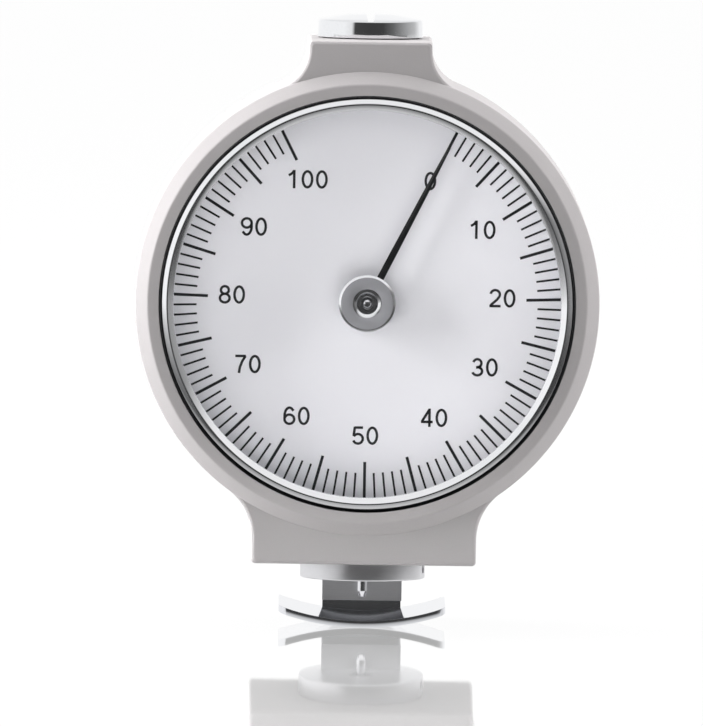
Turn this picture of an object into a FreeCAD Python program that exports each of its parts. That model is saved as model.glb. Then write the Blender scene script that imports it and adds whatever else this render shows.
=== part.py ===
import FreeCAD, Part
import math
import os

V = FreeCAD.Vector

# Hand-held hardness tester with a round dial. Millimetres.
# The origin is the centre of the presser foot's bottom face, on the spindle axis.
# +Z points up the spindle, the dial faces -Y, +X is to the right of the dial.

# Presser foot: the ring that is pressed on the sample
presser_r = 7.85
presser_thick = 2.5      # also the height of the case's bottom face
presser_round = 0.25

# Case: a round cast housing with a neck above and a foot below
case_r = 29.0            # outer radius of the round part
case_face_y = -14.7      # front face of the round part
case_chamfer = 1.6       # wide chamfer round the front face
chamfer_deep = 1.2       # its depth, down to the front of neck and foot
case_back_y = 9.1        # back face
foot_drop = 3.65         # the flat underside lies this far below the round part
neck_rise = 3.75         # the neck's top lies this far above the round part
neck_half = 7.7          # half width of the neck
neck_fillet = 5.25       # hollow curve between neck and round part
foot_half = 14.05        # half width of the case foot
foot_fillet = 7.4        # hollow curve between foot and round part
corner_r = 0.5           # small rounding of the four outer corners
edge_chamfer = 0.45      # chamfer on the front and back outline
draft = 0.15             # the sides widen this much from front to back
rim_wall = 3.0           # wall round the bezel's seat
case_wall = 5.0          # wall round the movement, thick enough for the cover screws
ledge_wide = 1.5         # ledge that carries the movement
web_thick = 1.5          # thickness of that ledge

# Bezel, crystal and dial
bezel_gap = 0.2          # dark ring between bezel and case
bezel_wide = 1.65        # from the bezel's edge to its inner rim
bezel_rise = 0.3         # the bezel stands this much proud of the case face
bezel_skirt = 2.2        # length of the skirt that sits in the case
bezel_crest_in = 0.72    # the crest lies this far inside the bezel's edge
bezel_slope = 0.6        # rise of the outer slope up to the crest
bezel_lip = 0.7          # drop from the crest to the inner rim
crystal_thick = 1.2
crystal_lap = 0.85       # how far the crystal reaches under the rim
crystal_seat = 1.1       # depth of the crystal's front behind the bezel's front
seal_thick = 0.4
dial_y = -9.9            # front face of the dial
dial_thick = 0.4
dial_clear = 0.15        # dial, front plate and spacer ring are this much smaller than the crystal
spacer_wall = 0.5
fit_gap = 0.1            # general clearance between parts that drop into each other
slide_gap = 0.03         # radial running clearance of shafts and bushes
snap_wire = 0.7          # height of the bezel's snap ring

# Movement between two plates behind the dial
front_plate_thick = 1.2
bridge_thick = 1.0
plate_space = 4.2        # clear space between front plate and bridge
pillar_r = 1.2
pillar_places = ((-8.5, 4.0), (9.6, 8.4), (7.5, -13.2))   # x, z from the dial centre
plate_screw_in = 1.3     # plate screws lie this far inside the front plate's edge
arbor_r = 0.6
pivot_bush_r = 1.5
bush_lip = 0.2

# Rack and gear train: 2.5 mm of travel turns the pointer over the whole scale
travel = 2.5             # full travel of the indenter
scale_span_deg = 306.0   # sweep of the pointer from 0 to 100
zero_deg = 27.0          # the 0 mark lies this far clockwise from the top
wheel_teeth = 72
centre_teeth = 15
rack_pinion_teeth = 18
wheel_module = 0.2
wheel_thick = 0.8
centre_pinion_len = 2.0
rack_pinion_len = 2.6
rack_pitch_x = -1.5      # pitch line of the rack, left of the spindle axis
rack_teeth = 12
hairspring_turns = 4.5
hairspring_strip = 0.12
hairspring_wide = 0.4
hairspring_inner_r = 1.25
hairspring_outer_r = 5.0

# Pointer and hub
pointer_y = -11.1        # middle plane of the blade
pointer_thick = 0.2
pointer_short = 2.35     # the tip stops this far inside the dial's edge
pointer_root_w = 0.85
pointer_tip_w = 0.3
hub_r = 3.57
hub_front_y = -12.35
hub_thick = 1.15
hub_bevel = 0.27
hub_recess_r = 1.8
hub_cone = 0.6           # width and depth of the conical recess
hub_groove = 0.95        # depth of the groove round the centre pin
hub_boss_wall = 0.16     # collar round the centre pin
centre_pin_r = 0.69

# Spindle, guides and measuring spring
spindle_r = 2.0
stem_r = 1.25            # thin upper end that runs through the spring
spindle_lift = 1.5       # the spindle ends this far above the presser foot
spring_space = 12.0      # from the spindle's shoulder to the adjuster
stem_short = 1.8         # the stem ends this far inside the adjuster
stop_collar_r = 3.0
stop_collar_thick = 1.2
indenter_r = 0.625
indenter_out = 2.5       # how far the indenter stands out at rest
indenter_flat_r = 0.395  # flat end of its 35 degree cone
indenter_grip = 5.0
guide_pin_r = 0.45
guide_pin_above = 0.85   # height of the guide pin above the dial centre
guide_pin_reach = 4.5
fork_gap = 0.9           # between spindle and fork
fork_wide = 1.9
fork_base_wide = 5.8
fork_base_thick = 1.0
fork_below = 4.6         # reach of the fork below and above the guide pin's path
fork_above = 3.2
fork_depth = 1.8         # the fork reaches this far behind the spindle axis
fork_slot_spare = 2.0    # free slot beyond the guide pin's path
fork_screw_out = 5.2
fork_screw_low = 2.4
fork_screw_high = 3.4
small_screw_r = 0.42
small_head_r = 0.95
small_head_high = 0.6
small_slot = 0.25
plate_screw_shank_r = 0.5
plate_sink = 0.65        # depth of the counterbore for the head of a plate screw
bridge_screw_r = 0.47
bridge_head_r = 1.1
bridge_head_high = 0.7
bridge_screw_reach = 2.0
spring_wire = 0.5
spring_mean_r = 2.35
spring_turns = 6
spring_sides = 6         # the round wire is drawn with this many flats
seat_thick = 1.4
seat_r = 3.1
adjuster_r = 3.95
adjuster_deep = 9.9      # its lower end lies this far below the neck's top
adjuster_len = 6.4
adjuster_recess = 2.2
locknut_thick = 1.4

# Top cap
cap_r = 6.6
cap_rim = 2.2            # straight height of the rim
cap_crown = 0.8          # rise of the shallow crown
cap_slot_w = 1.15        # width at the top of the slot
cap_slot_low_w = 0.7     # width at its bottom
cap_slot_d = 0.9
washer_thick = 0.12
cap_stem = 1.6

# Presser foot and curved foot strip
spigot_r = 5.5
spigot_len = 8.2
indenter_hole_r = 1.5
presser_floor = 2.0      # thickness under the spindle
spindle_pocket_gap = 0.15
bush_seat = 0.4          # the guide bush sits this far above the presser foot's top
guide_bush_r = 3.3
guide_flange_r = 4.6
guide_flange_thick = 1.2
bar_hole_r = 0.55        # blind hole in the rim for a tommy bar
bar_hole_deg = -14.0
lug_half = 5.0           # block at the back of the presser foot that carries the strip
lug_front_y = 2.8
lug_back_y = 8.15
lug_drop = 3.2           # the block reaches this far below the presser foot
strip_thick = 0.85
strip_len = 21.0
strip_front_y = -2.2
strip_low_z = -6.27      # lowest line of the strip, at its front edge
strip_curve_r = 32.0     # the strip is bent to this radius, hollow side up
strip_tilt_deg = 3.0     # the strip falls a little towards the front
strip_corner = 1.4
web_half = 4.95          # half width of the upright web
web_top_gap = 0.2
strip_screw_x = 3.6
strip_screw_z = -1.6
strip_screw_head_r = 1.3
strip_screw_r = 0.8
strip_screw_grip = 3.6   # depth of the screws in the block

# Rear cover
cover_seat_depth = 1.2
cover_seat_wide = 3.0
cover_thick = 1.8
cover_edge = 0.4
gasket_thick = 0.3
cover_screws_count = 4
cover_screw_r = 0.8
cover_screw_head_r = 1.6
cover_screw_len = 5.0

# Values that follow from the sizes above
case_bottom_z = presser_thick
dial_z = case_bottom_z + foot_drop + case_r
neck_top_z = dial_z + case_r + neck_rise
shoulder_y = case_face_y + chamfer_deep
bore_r = case_r - rim_wall
bezel_r = bore_r - bezel_gap
bezel_rim_r = bezel_r - bezel_wide
cavity_r = case_r - case_wall
web_inner_r = cavity_r - ledge_wide
front_plate_y = dial_y + dial_thick
ledge_y = front_plate_y + front_plate_thick
bridge_y = ledge_y + plate_space
bridge_back_y = bridge_y + bridge_thick
bezel_front_y = case_face_y - bezel_rise
crystal_front_y = bezel_front_y + crystal_seat
crystal_back_y = crystal_front_y + crystal_thick
crystal_r = bezel_rim_r + crystal_lap
dial_fit_r = crystal_r - dial_clear
plate_screw_r = dial_fit_r - plate_screw_in
pointer_len = dial_fit_r - pointer_short
seat_bore_r = dial_fit_r + fit_gap
bezel_floor_y = dial_y - 0.3
gear_ratio = wheel_teeth / centre_teeth
rack_pinion_pitch_r = travel / math.radians(scale_span_deg) * gear_ratio
rack_module = 2 * rack_pinion_pitch_r / rack_pinion_teeth
rack_pitch = math.pi * rack_module
wheel_pitch_r = wheel_module * wheel_teeth / 2
centre_pitch_r = wheel_module * centre_teeth / 2
gear_x = rack_pitch_x - rack_pinion_pitch_r
gear_z = dial_z - math.sqrt((wheel_pitch_r + centre_pitch_r) ** 2 - gear_x ** 2)
wheel_y = ledge_y + 1.4
guide_pin_z = dial_z + guide_pin_above
spindle_bottom_z = presser_thick + spindle_lift
adjuster_bottom_z = neck_top_z - adjuster_deep
shoulder_z = adjuster_bottom_z - spring_space
spindle_top_z = adjuster_bottom_z + adjuster_len - stem_short
guide_bush_top_z = presser_thick + spigot_len + guide_flange_thick
spring_low_z = shoulder_z + seat_thick
spring_high_z = adjuster_bottom_z + adjuster_recess
strip_back_y = lug_back_y + strip_thick
strip_depth = strip_back_y - strip_front_y


def write(name, shape):
    shape.exportStep("parts/" + name + ".step")
    print(name, len(shape.Solids), round(shape.Volume, 2), shape.isValid())


def rod_y(r, y0, y1, x=0.0, z=0.0):
    return Part.makeCylinder(r, y1 - y0, V(x, y0, z), V(0, 1, 0))


def rod_z(r, z0, z1, x=0.0, y=0.0):
    return Part.makeCylinder(r, z1 - z0, V(x, y, z0), V(0, 0, 1))


def ring_y(r_out, r_in, y0, y1, x=0.0, z=0.0):
    return rod_y(r_out, y0, y1, x, z).cut(rod_y(r_in, y0, y1, x, z))


def ring_z(r_out, r_in, z0, z1):
    return rod_z(r_out, z0, z1).cut(rod_z(r_in, z0, z1))


def box(x0, x1, y0, y1, z0, z1):
    return Part.makeBox(x1 - x0, y1 - y0, z1 - z0, V(x0, y0, z0))


def turned_y(profile, x=0.0, z=0.0):
    """Solid of revolution about the line through x, z along Y. Profile points are (radius, y)."""
    points = [V(x + r, y, z) for r, y in profile]
    face = Part.Face(Part.makePolygon(points + points[:1]))
    return face.revolve(V(x, 0, z), V(0, 1, 0), 360)


def turned_z(profile):
    """Solid of revolution about the spindle axis. Profile points are (radius, z)."""
    points = [V(r, 0, z) for r, z in profile]
    face = Part.Face(Part.makePolygon(points + points[:1]))
    return face.revolve(V(0, 0, 0), V(0, 0, 1), 360)


def around_dial(shape, degrees):
    """The shape turned clockwise about the dial centre, as seen from the front."""
    turned = shape.copy()
    turned.rotate(V(0, 0, dial_z), V(0, 1, 0), degrees)
    return turned


def group(shapes):
    return Part.makeCompound(shapes)


def gear(teeth, pitch_r, y0, y1, x, z, phase_deg, bore_r_):
    """Spur gear on an axis along Y. One tooth points along phase_deg, measured from +X to +Z."""
    module = 2 * pitch_r / teeth
    step = 360.0 / teeth
    root_r = pitch_r - 1.2 * module
    tip_r = pitch_r + 0.8 * module
    points = []
    for i in range(teeth):
        middle = phase_deg + i * step
        for share, radius in ((-0.27, root_r), (-0.1, tip_r), (0.1, tip_r), (0.27, root_r)):
            a = math.radians(middle + share * step)
            points.append(V(x + radius * math.cos(a), y0, z + radius * math.sin(a)))
    face = Part.Face(Part.makePolygon(points + points[:1]))
    return face.extrude(V(0, y1 - y0, 0)).cut(rod_y(bore_r_, y0, y1, x, z))


def slot_head(r, y0, y1, x, z, slot_w, outwards):
    """Round screw head with a straight slot. outwards is +1 when the head faces +Y."""
    head = rod_y(r, y0, y1, x, z)
    deep = 0.4 * (y1 - y0)
    low = y1 - deep if outwards > 0 else y0
    return head.cut(box(x - r, x + r, low, low + deep, z - slot_w / 2, z + slot_w / 2))


def outline_wire(y, grow, inset):
    """Outline of the case: round part, neck above and foot below, with hollow fillets.

    The sides stand out by grow, and the whole outline is drawn in by inset.
    """
    out = grow - inset
    neck_w = neck_half + out
    foot_w = foot_half + out
    round_r = case_r + out
    neck_r = neck_fillet - out
    foot_r = foot_fillet - out
    neck_cx = neck_w + neck_r
    neck_cz = dial_z + math.sqrt((round_r + neck_r) ** 2 - neck_cx ** 2)
    foot_cx = foot_w + foot_r
    foot_cz = dial_z - math.sqrt((round_r + foot_r) ** 2 - foot_cx ** 2)
    diag = 1 / math.sqrt(2)
    cr = corner_r

    def on_round(cx, cz):
        reach = math.hypot(cx, cz - dial_z)
        return V(cx / reach * round_r, y, dial_z + (cz - dial_z) / reach * round_r)

    def on_fillet(cx, cz, r, end_z):
        """Middle of the fillet arc between its two ends."""
        a = math.atan2(dial_z - cz, -cx)
        b = math.pi if end_z > 0 else -math.pi
        middle = (a % (2 * math.pi) + b % (2 * math.pi)) / 2
        return V(cx + r * math.cos(middle), y, cz + r * math.sin(middle))

    top = neck_top_z - inset
    low = case_bottom_z + inset
    right = [
        Part.Arc(V(neck_w - cr, y, top), V(neck_w - cr + cr * diag, y, top - cr + cr * diag),
                 V(neck_w, y, top - cr)),
        Part.LineSegment(V(neck_w, y, top - cr), V(neck_w, y, neck_cz)),
        Part.Arc(V(neck_w, y, neck_cz), on_fillet(neck_cx, neck_cz, neck_r, 1),
                 on_round(neck_cx, neck_cz)),
        Part.Arc(on_round(neck_cx, neck_cz), V(round_r, y, dial_z), on_round(foot_cx, foot_cz)),
        Part.Arc(on_round(foot_cx, foot_cz), on_fillet(foot_cx, foot_cz, foot_r, -1),
                 V(foot_w, y, foot_cz)),
        Part.LineSegment(V(foot_w, y, foot_cz), V(foot_w, y, low + cr)),
        Part.Arc(V(foot_w, y, low + cr), V(foot_w - cr + cr * diag, y, low + cr - cr * diag),
                 V(foot_w - cr, y, low)),
    ]
    edges = [piece.toShape() for piece in right]
    edges += [edge.mirror(V(0, 0, 0), V(1, 0, 0)) for edge in edges]
    edges.append(Part.LineSegment(V(-neck_w + cr, y, top), V(neck_w - cr, y, top)).toShape())
    edges.append(Part.LineSegment(V(-foot_w + cr, y, low), V(foot_w - cr, y, low)).toShape())
    return Part.Wire(Part.__sortEdges__(edges))


def cover_screw_places():
    radius = cavity_r + cover_seat_wide / 2
    places = []
    for i in range(cover_screws_count):
        a = math.radians(45 + i * 360 / cover_screws_count)
        places.append((radius * math.cos(a), dial_z + radius * math.sin(a)))
    return places


def plate_screw_places():
    places = []
    for degrees in (90, 210, 330):
        a = math.radians(degrees)
        places.append((plate_screw_r * math.cos(a), dial_z + plate_screw_r * math.sin(a)))
    return places


def make_case():
    sections = ((shoulder_y, 0.0, edge_chamfer), (shoulder_y + edge_chamfer, 0.0, 0.0),
                (case_back_y - edge_chamfer, draft, 0.0), (case_back_y, draft, edge_chamfer))
    body = Part.makeLoft([outline_wire(*section) for section in sections], True, True)
    cone = turned_y([(0, case_face_y), (case_r - case_chamfer, case_face_y), (case_r, shoulder_y),
                     (case_r, shoulder_y + edge_chamfer), (0, shoulder_y + edge_chamfer)], 0, dial_z)
    body = body.fuse(cone)
    seat_r = cavity_r + cover_seat_wide
    body = body.cut(rod_y(bore_r, case_face_y, bezel_floor_y, 0, dial_z))
    body = body.cut(rod_y(seat_bore_r, bezel_floor_y, ledge_y, 0, dial_z))
    body = body.cut(rod_y(web_inner_r, ledge_y, ledge_y + web_thick, 0, dial_z))
    body = body.cut(rod_y(cavity_r, ledge_y + web_thick, case_back_y, 0, dial_z))
    body = body.cut(rod_y(seat_r, case_back_y - cover_seat_depth, case_back_y, 0, dial_z))
    groove_y = snap_ring_y()
    half = (snap_wire + fit_gap) / 2
    groove = ring_y(bore_r + snap_wire / 2, bore_r - fit_gap, groove_y - half, groove_y + half, 0, dial_z)
    body = body.cut(groove)
    body = body.cut(rod_z(spigot_r + fit_gap / 2, case_bottom_z, dial_z - web_inner_r + 2))
    body = body.cut(rod_z(adjuster_r + fit_gap / 2, dial_z + web_inner_r - 2, neck_top_z))
    for x, z in cover_screw_places():
        body = body.cut(rod_y(cover_screw_r + 0.05, case_back_y - cover_screw_len - 1, case_back_y, x, z))
    for x, z in plate_screw_places():
        body = body.cut(rod_y(plate_screw_shank_r + slide_gap, ledge_y, ledge_y + web_thick, x, z))
    return body


def make_rear_cover():
    r = cavity_r + cover_seat_wide - fit_gap
    y0 = case_back_y - cover_seat_depth + gasket_thick
    y1 = y0 + cover_thick
    plate = turned_y([(0, y0), (r, y0), (r, y1 - cover_edge), (r - cover_edge, y1), (0, y1)], 0, dial_z)
    for x, z in cover_screw_places():
        plate = plate.cut(rod_y(cover_screw_r + fit_gap, y0, y1, x, z))
        sink = Part.makeCone(cover_screw_r + fit_gap, cover_screw_head_r + fit_gap,
                             cover_screw_head_r - cover_screw_r,
                             V(x, y1 - cover_screw_head_r + cover_screw_r, z), V(0, 1, 0))
        plate = plate.cut(sink)
    return plate


def make_cover_screws():
    y1 = case_back_y - cover_seat_depth + gasket_thick + cover_thick - 0.05
    sink = cover_screw_head_r - cover_screw_r
    screws = []
    for x, z in cover_screw_places():
        screw = turned_y([(0, y1 - cover_screw_len), (cover_screw_r, y1 - cover_screw_len),
                          (cover_screw_r, y1 - sink), (cover_screw_head_r, y1), (0, y1)], x, z)
        half = cover_screw_head_r
        screws.append(screw.cut(box(x - half, x + half, y1 - 0.4, y1, z - 0.2, z + 0.2)))
    return group(screws)


def make_cover_gasket():
    y0 = case_back_y - cover_seat_depth
    gasket = ring_y(cavity_r + cover_seat_wide - fit_gap, cavity_r + 0.2, y0, y0 + gasket_thick, 0, dial_z)
    for x, z in cover_screw_places():
        gasket = gasket.cut(rod_y(cover_screw_r + fit_gap, y0, y0 + gasket_thick, x, z))
    return gasket


def snap_ring_y():
    return bezel_floor_y - bezel_skirt / 2


def make_bezel_ring():
    """Turned ring: an outer slope, a narrow crest, and an inner slope down to the crystal."""
    front = bezel_front_y
    back = bezel_floor_y - fit_gap
    skirt_y = bezel_floor_y - bezel_skirt
    skirt_r = bore_r - fit_gap
    inner_r = crystal_r + fit_gap / 2
    crest_r = bezel_r - bezel_crest_in
    soft = 0.1
    bend_r = (crest_r + bezel_rim_r) / 2
    profile = [(bezel_r, skirt_y), (bezel_r, front + bezel_slope), (crest_r + soft, front + soft / 2),
               (crest_r, front), (crest_r - soft, front + soft / 2), (bend_r, front + 0.75 * bezel_lip),
               (bezel_rim_r, front + bezel_lip), (bezel_rim_r, crystal_front_y), (inner_r, crystal_front_y),
               (inner_r, back), (skirt_r, back), (skirt_r, skirt_y)]
    ring = turned_y(profile, 0, dial_z)
    y = snap_ring_y()
    half = (snap_wire + fit_gap) / 2
    groove = ring_y(skirt_r + 1, skirt_r - snap_wire / 2, y - half, y + half, 0, dial_z)
    return ring.cut(groove)


def make_bezel_snap_ring():
    """Split spring ring that holds the bezel in the case."""
    y = snap_ring_y()
    r = bore_r - fit_gap / 2
    half = snap_wire / 2
    ring = ring_y(r + half, r - half, y - half, y + half, 0, dial_z)
    gap = 1.5 * snap_wire
    return ring.cut(box(-gap, gap, y - 1, y + 1, dial_z - r - 1, dial_z - r + 1))


def make_crystal():
    r = crystal_r
    y0 = crystal_front_y
    y1 = crystal_back_y
    return turned_y([(0, y0), (r - 0.15, y0), (r, y0 + 0.15), (r, y1), (0, y1)], 0, dial_z)


def make_crystal_seal():
    y0 = crystal_back_y
    return ring_y(crystal_r - fit_gap, dial_fit_r - spacer_wall, y0, y0 + seal_thick, 0, dial_z)


def make_spacer_ring():
    y0 = crystal_back_y + seal_thick
    return ring_y(dial_fit_r, dial_fit_r - spacer_wall, y0, dial_y, 0, dial_z)


def make_dial_plate():
    plate = rod_y(dial_fit_r, dial_y, dial_y + dial_thick, 0, dial_z)
    return plate.cut(rod_y(pivot_bush_r + fit_gap, dial_y, dial_y + dial_thick, 0, dial_z))


def make_front_plate():
    plate = rod_y(dial_fit_r, front_plate_y, ledge_y, 0, dial_z)
    plate = plate.cut(rod_y(pivot_bush_r, front_plate_y, ledge_y, 0, dial_z))
    plate = plate.cut(rod_y(pivot_bush_r, front_plate_y, ledge_y, gear_x, gear_z))
    for x, z in plate_screw_places():
        plate = plate.cut(rod_y(plate_screw_shank_r + slide_gap, front_plate_y, ledge_y, x, z))
        plate = plate.cut(rod_y(small_head_r + fit_gap, front_plate_y, front_plate_y + plate_sink, x, z))
    for x, z in pillar_places:
        plate = plate.cut(rod_y(plate_screw_shank_r, front_plate_y, ledge_y, x, dial_z + z))
    return plate


def make_plate_screws():
    screws = []
    for x, z in plate_screw_places():
        y = front_plate_y + plate_sink
        head = slot_head(small_head_r, y - small_head_high, y, x, z, small_slot, -1)
        screws.append(head.fuse(rod_y(plate_screw_shank_r, y, ledge_y + web_thick - fit_gap, x, z)))
    return group(screws)


def make_pillars():
    pillars = []
    for x, z in pillar_places:
        body = rod_y(pillar_r, ledge_y, bridge_y, x, dial_z + z)
        body = body.fuse(rod_y(plate_screw_shank_r, front_plate_y + fit_gap, ledge_y, x, dial_z + z))
        bore = rod_y(bridge_screw_r + slide_gap, bridge_y - bridge_screw_reach - fit_gap, bridge_y,
                     x, dial_z + z)
        pillars.append(body.cut(bore))
    return group(pillars)


def make_bridge_screws():
    screws = []
    for x, z in pillar_places:
        head = slot_head(bridge_head_r, bridge_back_y, bridge_back_y + bridge_head_high, x, dial_z + z,
                         small_slot, 1)
        shank = rod_y(bridge_screw_r, bridge_y - bridge_screw_reach, bridge_back_y, x, dial_z + z)
        screws.append(head.fuse(shank))
    return group(screws)


def make_rear_bridge():
    """Plate behind the gears, with rounded corners round the pillars."""
    margin = pillar_r + 1.2
    corners = list(pillar_places) + [(gear_x - arbor_r, gear_z - dial_z - pivot_bush_r)]
    points = [V(x, bridge_y, dial_z + z) for x, z in corners]
    plate = Part.Face(Part.makePolygon(points + points[:1])).extrude(V(0, bridge_thick, 0))
    for i in range(len(corners)):
        x0, z0 = corners[i]
        x1, z1 = corners[(i + 1) % len(corners)]
        length = math.hypot(x1 - x0, z1 - z0)
        side = box(0, length, 0, bridge_thick, -margin, margin)
        side.rotate(V(0, 0, 0), V(0, 1, 0), -math.degrees(math.atan2(z1 - z0, x1 - x0)))
        side.translate(V(x0, bridge_y, dial_z + z0))
        plate = plate.fuse(side).fuse(rod_y(margin, bridge_y, bridge_back_y, x0, dial_z + z0))
    plate = plate.removeSplitter()
    plate = plate.cut(rod_y(pivot_bush_r, bridge_y, bridge_back_y, 0, dial_z))
    plate = plate.cut(rod_y(pivot_bush_r, bridge_y, bridge_back_y, gear_x, gear_z))
    for x, z in pillar_places:
        plate = plate.cut(rod_y(bridge_screw_r + fit_gap, bridge_y, bridge_back_y, x, dial_z + z))
    for z in fork_screw_heights():
        plate = plate.cut(rod_y(small_screw_r + slide_gap, bridge_y, bridge_back_y, fork_screw_x(), z))
    return plate


def make_bush(y0, y1, x, z, lip_y0, lip_y1, bore):
    """Flanged brass bush for a pivot."""
    return rod_y(pivot_bush_r, y0, y1, x, z).fuse(
        rod_y(pivot_bush_r + 0.4, lip_y0, lip_y1, x, z)).cut(rod_y(bore, y0 - 1, y1 + 1, x, z))


def make_rack_pinion():
    half = rack_pinion_len / 2
    return gear(rack_pinion_teeth, rack_pinion_pitch_r, -half, half, gear_x, gear_z, 0.0, arbor_r)


def line_of_centres_deg():
    return math.degrees(math.atan2(dial_z - gear_z, -gear_x))


def make_drive_wheel():
    wheel = gear(wheel_teeth, wheel_pitch_r, wheel_y, wheel_y + wheel_thick, gear_x, gear_z,
                 line_of_centres_deg(), arbor_r + 1.2)
    for i in range(4):
        a = math.radians(45 + i * 90)
        reach = 0.56 * wheel_pitch_r
        wheel = wheel.cut(rod_y(0.21 * wheel_pitch_r, wheel_y, wheel_y + wheel_thick,
                                gear_x + reach * math.cos(a), gear_z + reach * math.sin(a)))
    return wheel


def make_wheel_hub():
    y0 = wheel_y - 0.5
    y1 = wheel_y + wheel_thick + 0.5
    hub = rod_y(arbor_r + 1.2, y0, y1, gear_x, gear_z)
    return hub.cut(rod_y(arbor_r, y0, y1, gear_x, gear_z))


def make_gear_arbor():
    return rod_y(arbor_r, front_plate_y + 0.15, rack_pinion_len / 2 + 0.2, gear_x, gear_z)


def make_centre_pinion():
    phase = line_of_centres_deg() + 180 + 180.0 / centre_teeth
    y0 = wheel_y + wheel_thick / 2 - centre_pinion_len / 2
    return gear(centre_teeth, centre_pitch_r, y0, y0 + centre_pinion_len, 0, dial_z, phase, arbor_r)


def make_centre_arbor():
    """Long arbor that carries the pointer in front and the centre pinion behind the front plate."""
    front = hub_front_y + 0.25
    step = front_plate_y - 0.2
    arbor = rod_y(centre_pin_r, front, step, 0, dial_z).fuse(
        rod_y(arbor_r, step, bridge_back_y - 0.1, 0, dial_z))
    dimple = Part.makeCone(0.3, 0.0, 0.3, V(0, front, dial_z), V(0, 1, 0))
    return arbor.cut(dimple)


def make_hairspring_collet():
    y0 = hairspring_y() - 0.2
    return ring_y(hairspring_inner_r - 0.15, arbor_r, y0, y0 + hairspring_wide + 0.4, 0, dial_z)


def hairspring_y():
    return bridge_y - 0.9


def make_hairspring():
    """Flat spiral between the collet and the stud."""
    y = hairspring_y()
    growth = (hairspring_outer_r - hairspring_inner_r) / hairspring_turns
    steps = int(hairspring_turns * 20)
    points = []
    for offset in (0.0, hairspring_strip):
        side = []
        for i in range(steps + 1):
            turn = hairspring_turns * i / steps
            r = hairspring_inner_r + growth * turn + offset
            a = 2 * math.pi * (turn - hairspring_turns)
            side.append(V(r * math.cos(a), y, dial_z + r * math.sin(a)))
        points += side if offset == 0.0 else side[::-1]
    return Part.Face(Part.makePolygon(points + points[:1])).extrude(V(0, hairspring_wide, 0))


def make_hairspring_stud():
    x = hairspring_outer_r + hairspring_strip + 0.4
    return rod_y(0.4, hairspring_y() - 0.2, bridge_y, x, dial_z)


def fork_screw_x():
    return spindle_r + fork_screw_out


def fork_screw_heights():
    return (guide_pin_z - fork_screw_low, guide_pin_z + fork_screw_high)


def make_guide_fork():
    """Slotted block on the bridge. The spindle's guide pin runs in the slot, so it cannot turn."""
    low = guide_pin_z - fork_below
    high = guide_pin_z + travel + fork_above
    inner = spindle_r + fork_gap
    back = bridge_back_y + fork_base_thick
    base = box(inner, inner + fork_base_wide, bridge_back_y, back, low, high)
    arm = box(inner, inner + fork_wide, bridge_back_y, fork_depth, low, high)
    half = guide_pin_r + slide_gap
    slot = box(inner - fork_gap, inner + 1.5 * fork_wide, -half, half, guide_pin_z - fork_slot_spare,
               guide_pin_z + travel + fork_slot_spare)
    fork = base.fuse(arm).removeSplitter().cut(slot)
    for z in fork_screw_heights():
        fork = fork.cut(rod_y(small_screw_r + fit_gap, bridge_back_y, back, fork_screw_x(), z))
    return fork


def make_fork_screws():
    y = bridge_back_y + fork_base_thick
    screws = []
    for z in fork_screw_heights():
        head = slot_head(small_head_r, y, y + small_head_high, fork_screw_x(), z, small_slot, 1)
        shank = rod_y(small_screw_r, bridge_y + fit_gap, y, fork_screw_x(), z)
        screws.append(head.fuse(shank))
    return group(screws)


def make_spindle():
    """Spindle with a rack cut into its left side, a stop collar and a thin upper stem."""
    stop_z = guide_bush_top_z + 0.05
    body = rod_z(spindle_r, spindle_bottom_z, shoulder_z)
    body = body.fuse(rod_z(stop_collar_r, stop_z, stop_z + stop_collar_thick))
    body = body.fuse(rod_z(stem_r, shoulder_z, spindle_top_z)).removeSplitter()
    body = body.cut(rod_z(indenter_r, spindle_bottom_z, spindle_bottom_z + indenter_grip))
    body = body.cut(Part.makeCylinder(guide_pin_r, spindle_r + 1, V(0, 0, guide_pin_z), V(1, 0, 0)))
    tip_x = rack_pitch_x - 0.8 * rack_module
    root_x = rack_pitch_x + 1.2 * rack_module
    low = gear_z - travel / 2 - rack_teeth * rack_pitch / 2
    high = low + rack_teeth * rack_pitch
    shift = (gear_z - low) / rack_pitch
    low = gear_z - round(shift) * rack_pitch
    high = low + rack_teeth * rack_pitch
    body = body.cut(box(-spindle_r - 1, tip_x, -spindle_r - 1, spindle_r + 1, low - 0.6, high + 0.6))
    for i in range(rack_teeth):
        z = low + i * rack_pitch
        half_out = 0.4 * rack_pitch
        half_in = 0.23 * rack_pitch
        points = [V(tip_x, -spindle_r, z - half_out), V(root_x, -spindle_r, z - half_in),
                  V(root_x, -spindle_r, z + half_in), V(tip_x, -spindle_r, z + half_out)]
        gap = Part.Face(Part.makePolygon(points + points[:1])).extrude(V(0, 2 * spindle_r, 0))
        body = body.cut(gap)
    return body


def make_guide_pin():
    return Part.makeCylinder(guide_pin_r, guide_pin_reach - 0.2, V(0.2, 0, guide_pin_z), V(1, 0, 0))


def make_indenter():
    cone = (indenter_r - indenter_flat_r) / math.tan(math.radians(17.5))
    tip = -indenter_out
    return turned_z([(0, tip), (indenter_flat_r, tip), (indenter_r, tip + cone),
                     (indenter_r, spindle_bottom_z + indenter_grip), (0, spindle_bottom_z + indenter_grip)])


def make_spring_seat():
    z1 = shoulder_z + seat_thick
    return turned_z([(stem_r, shoulder_z), (seat_r, shoulder_z), (seat_r, z1), (spindle_r, z1),
                     (spindle_r - 0.2, z1 + 0.6), (stem_r, z1 + 0.6)])


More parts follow.
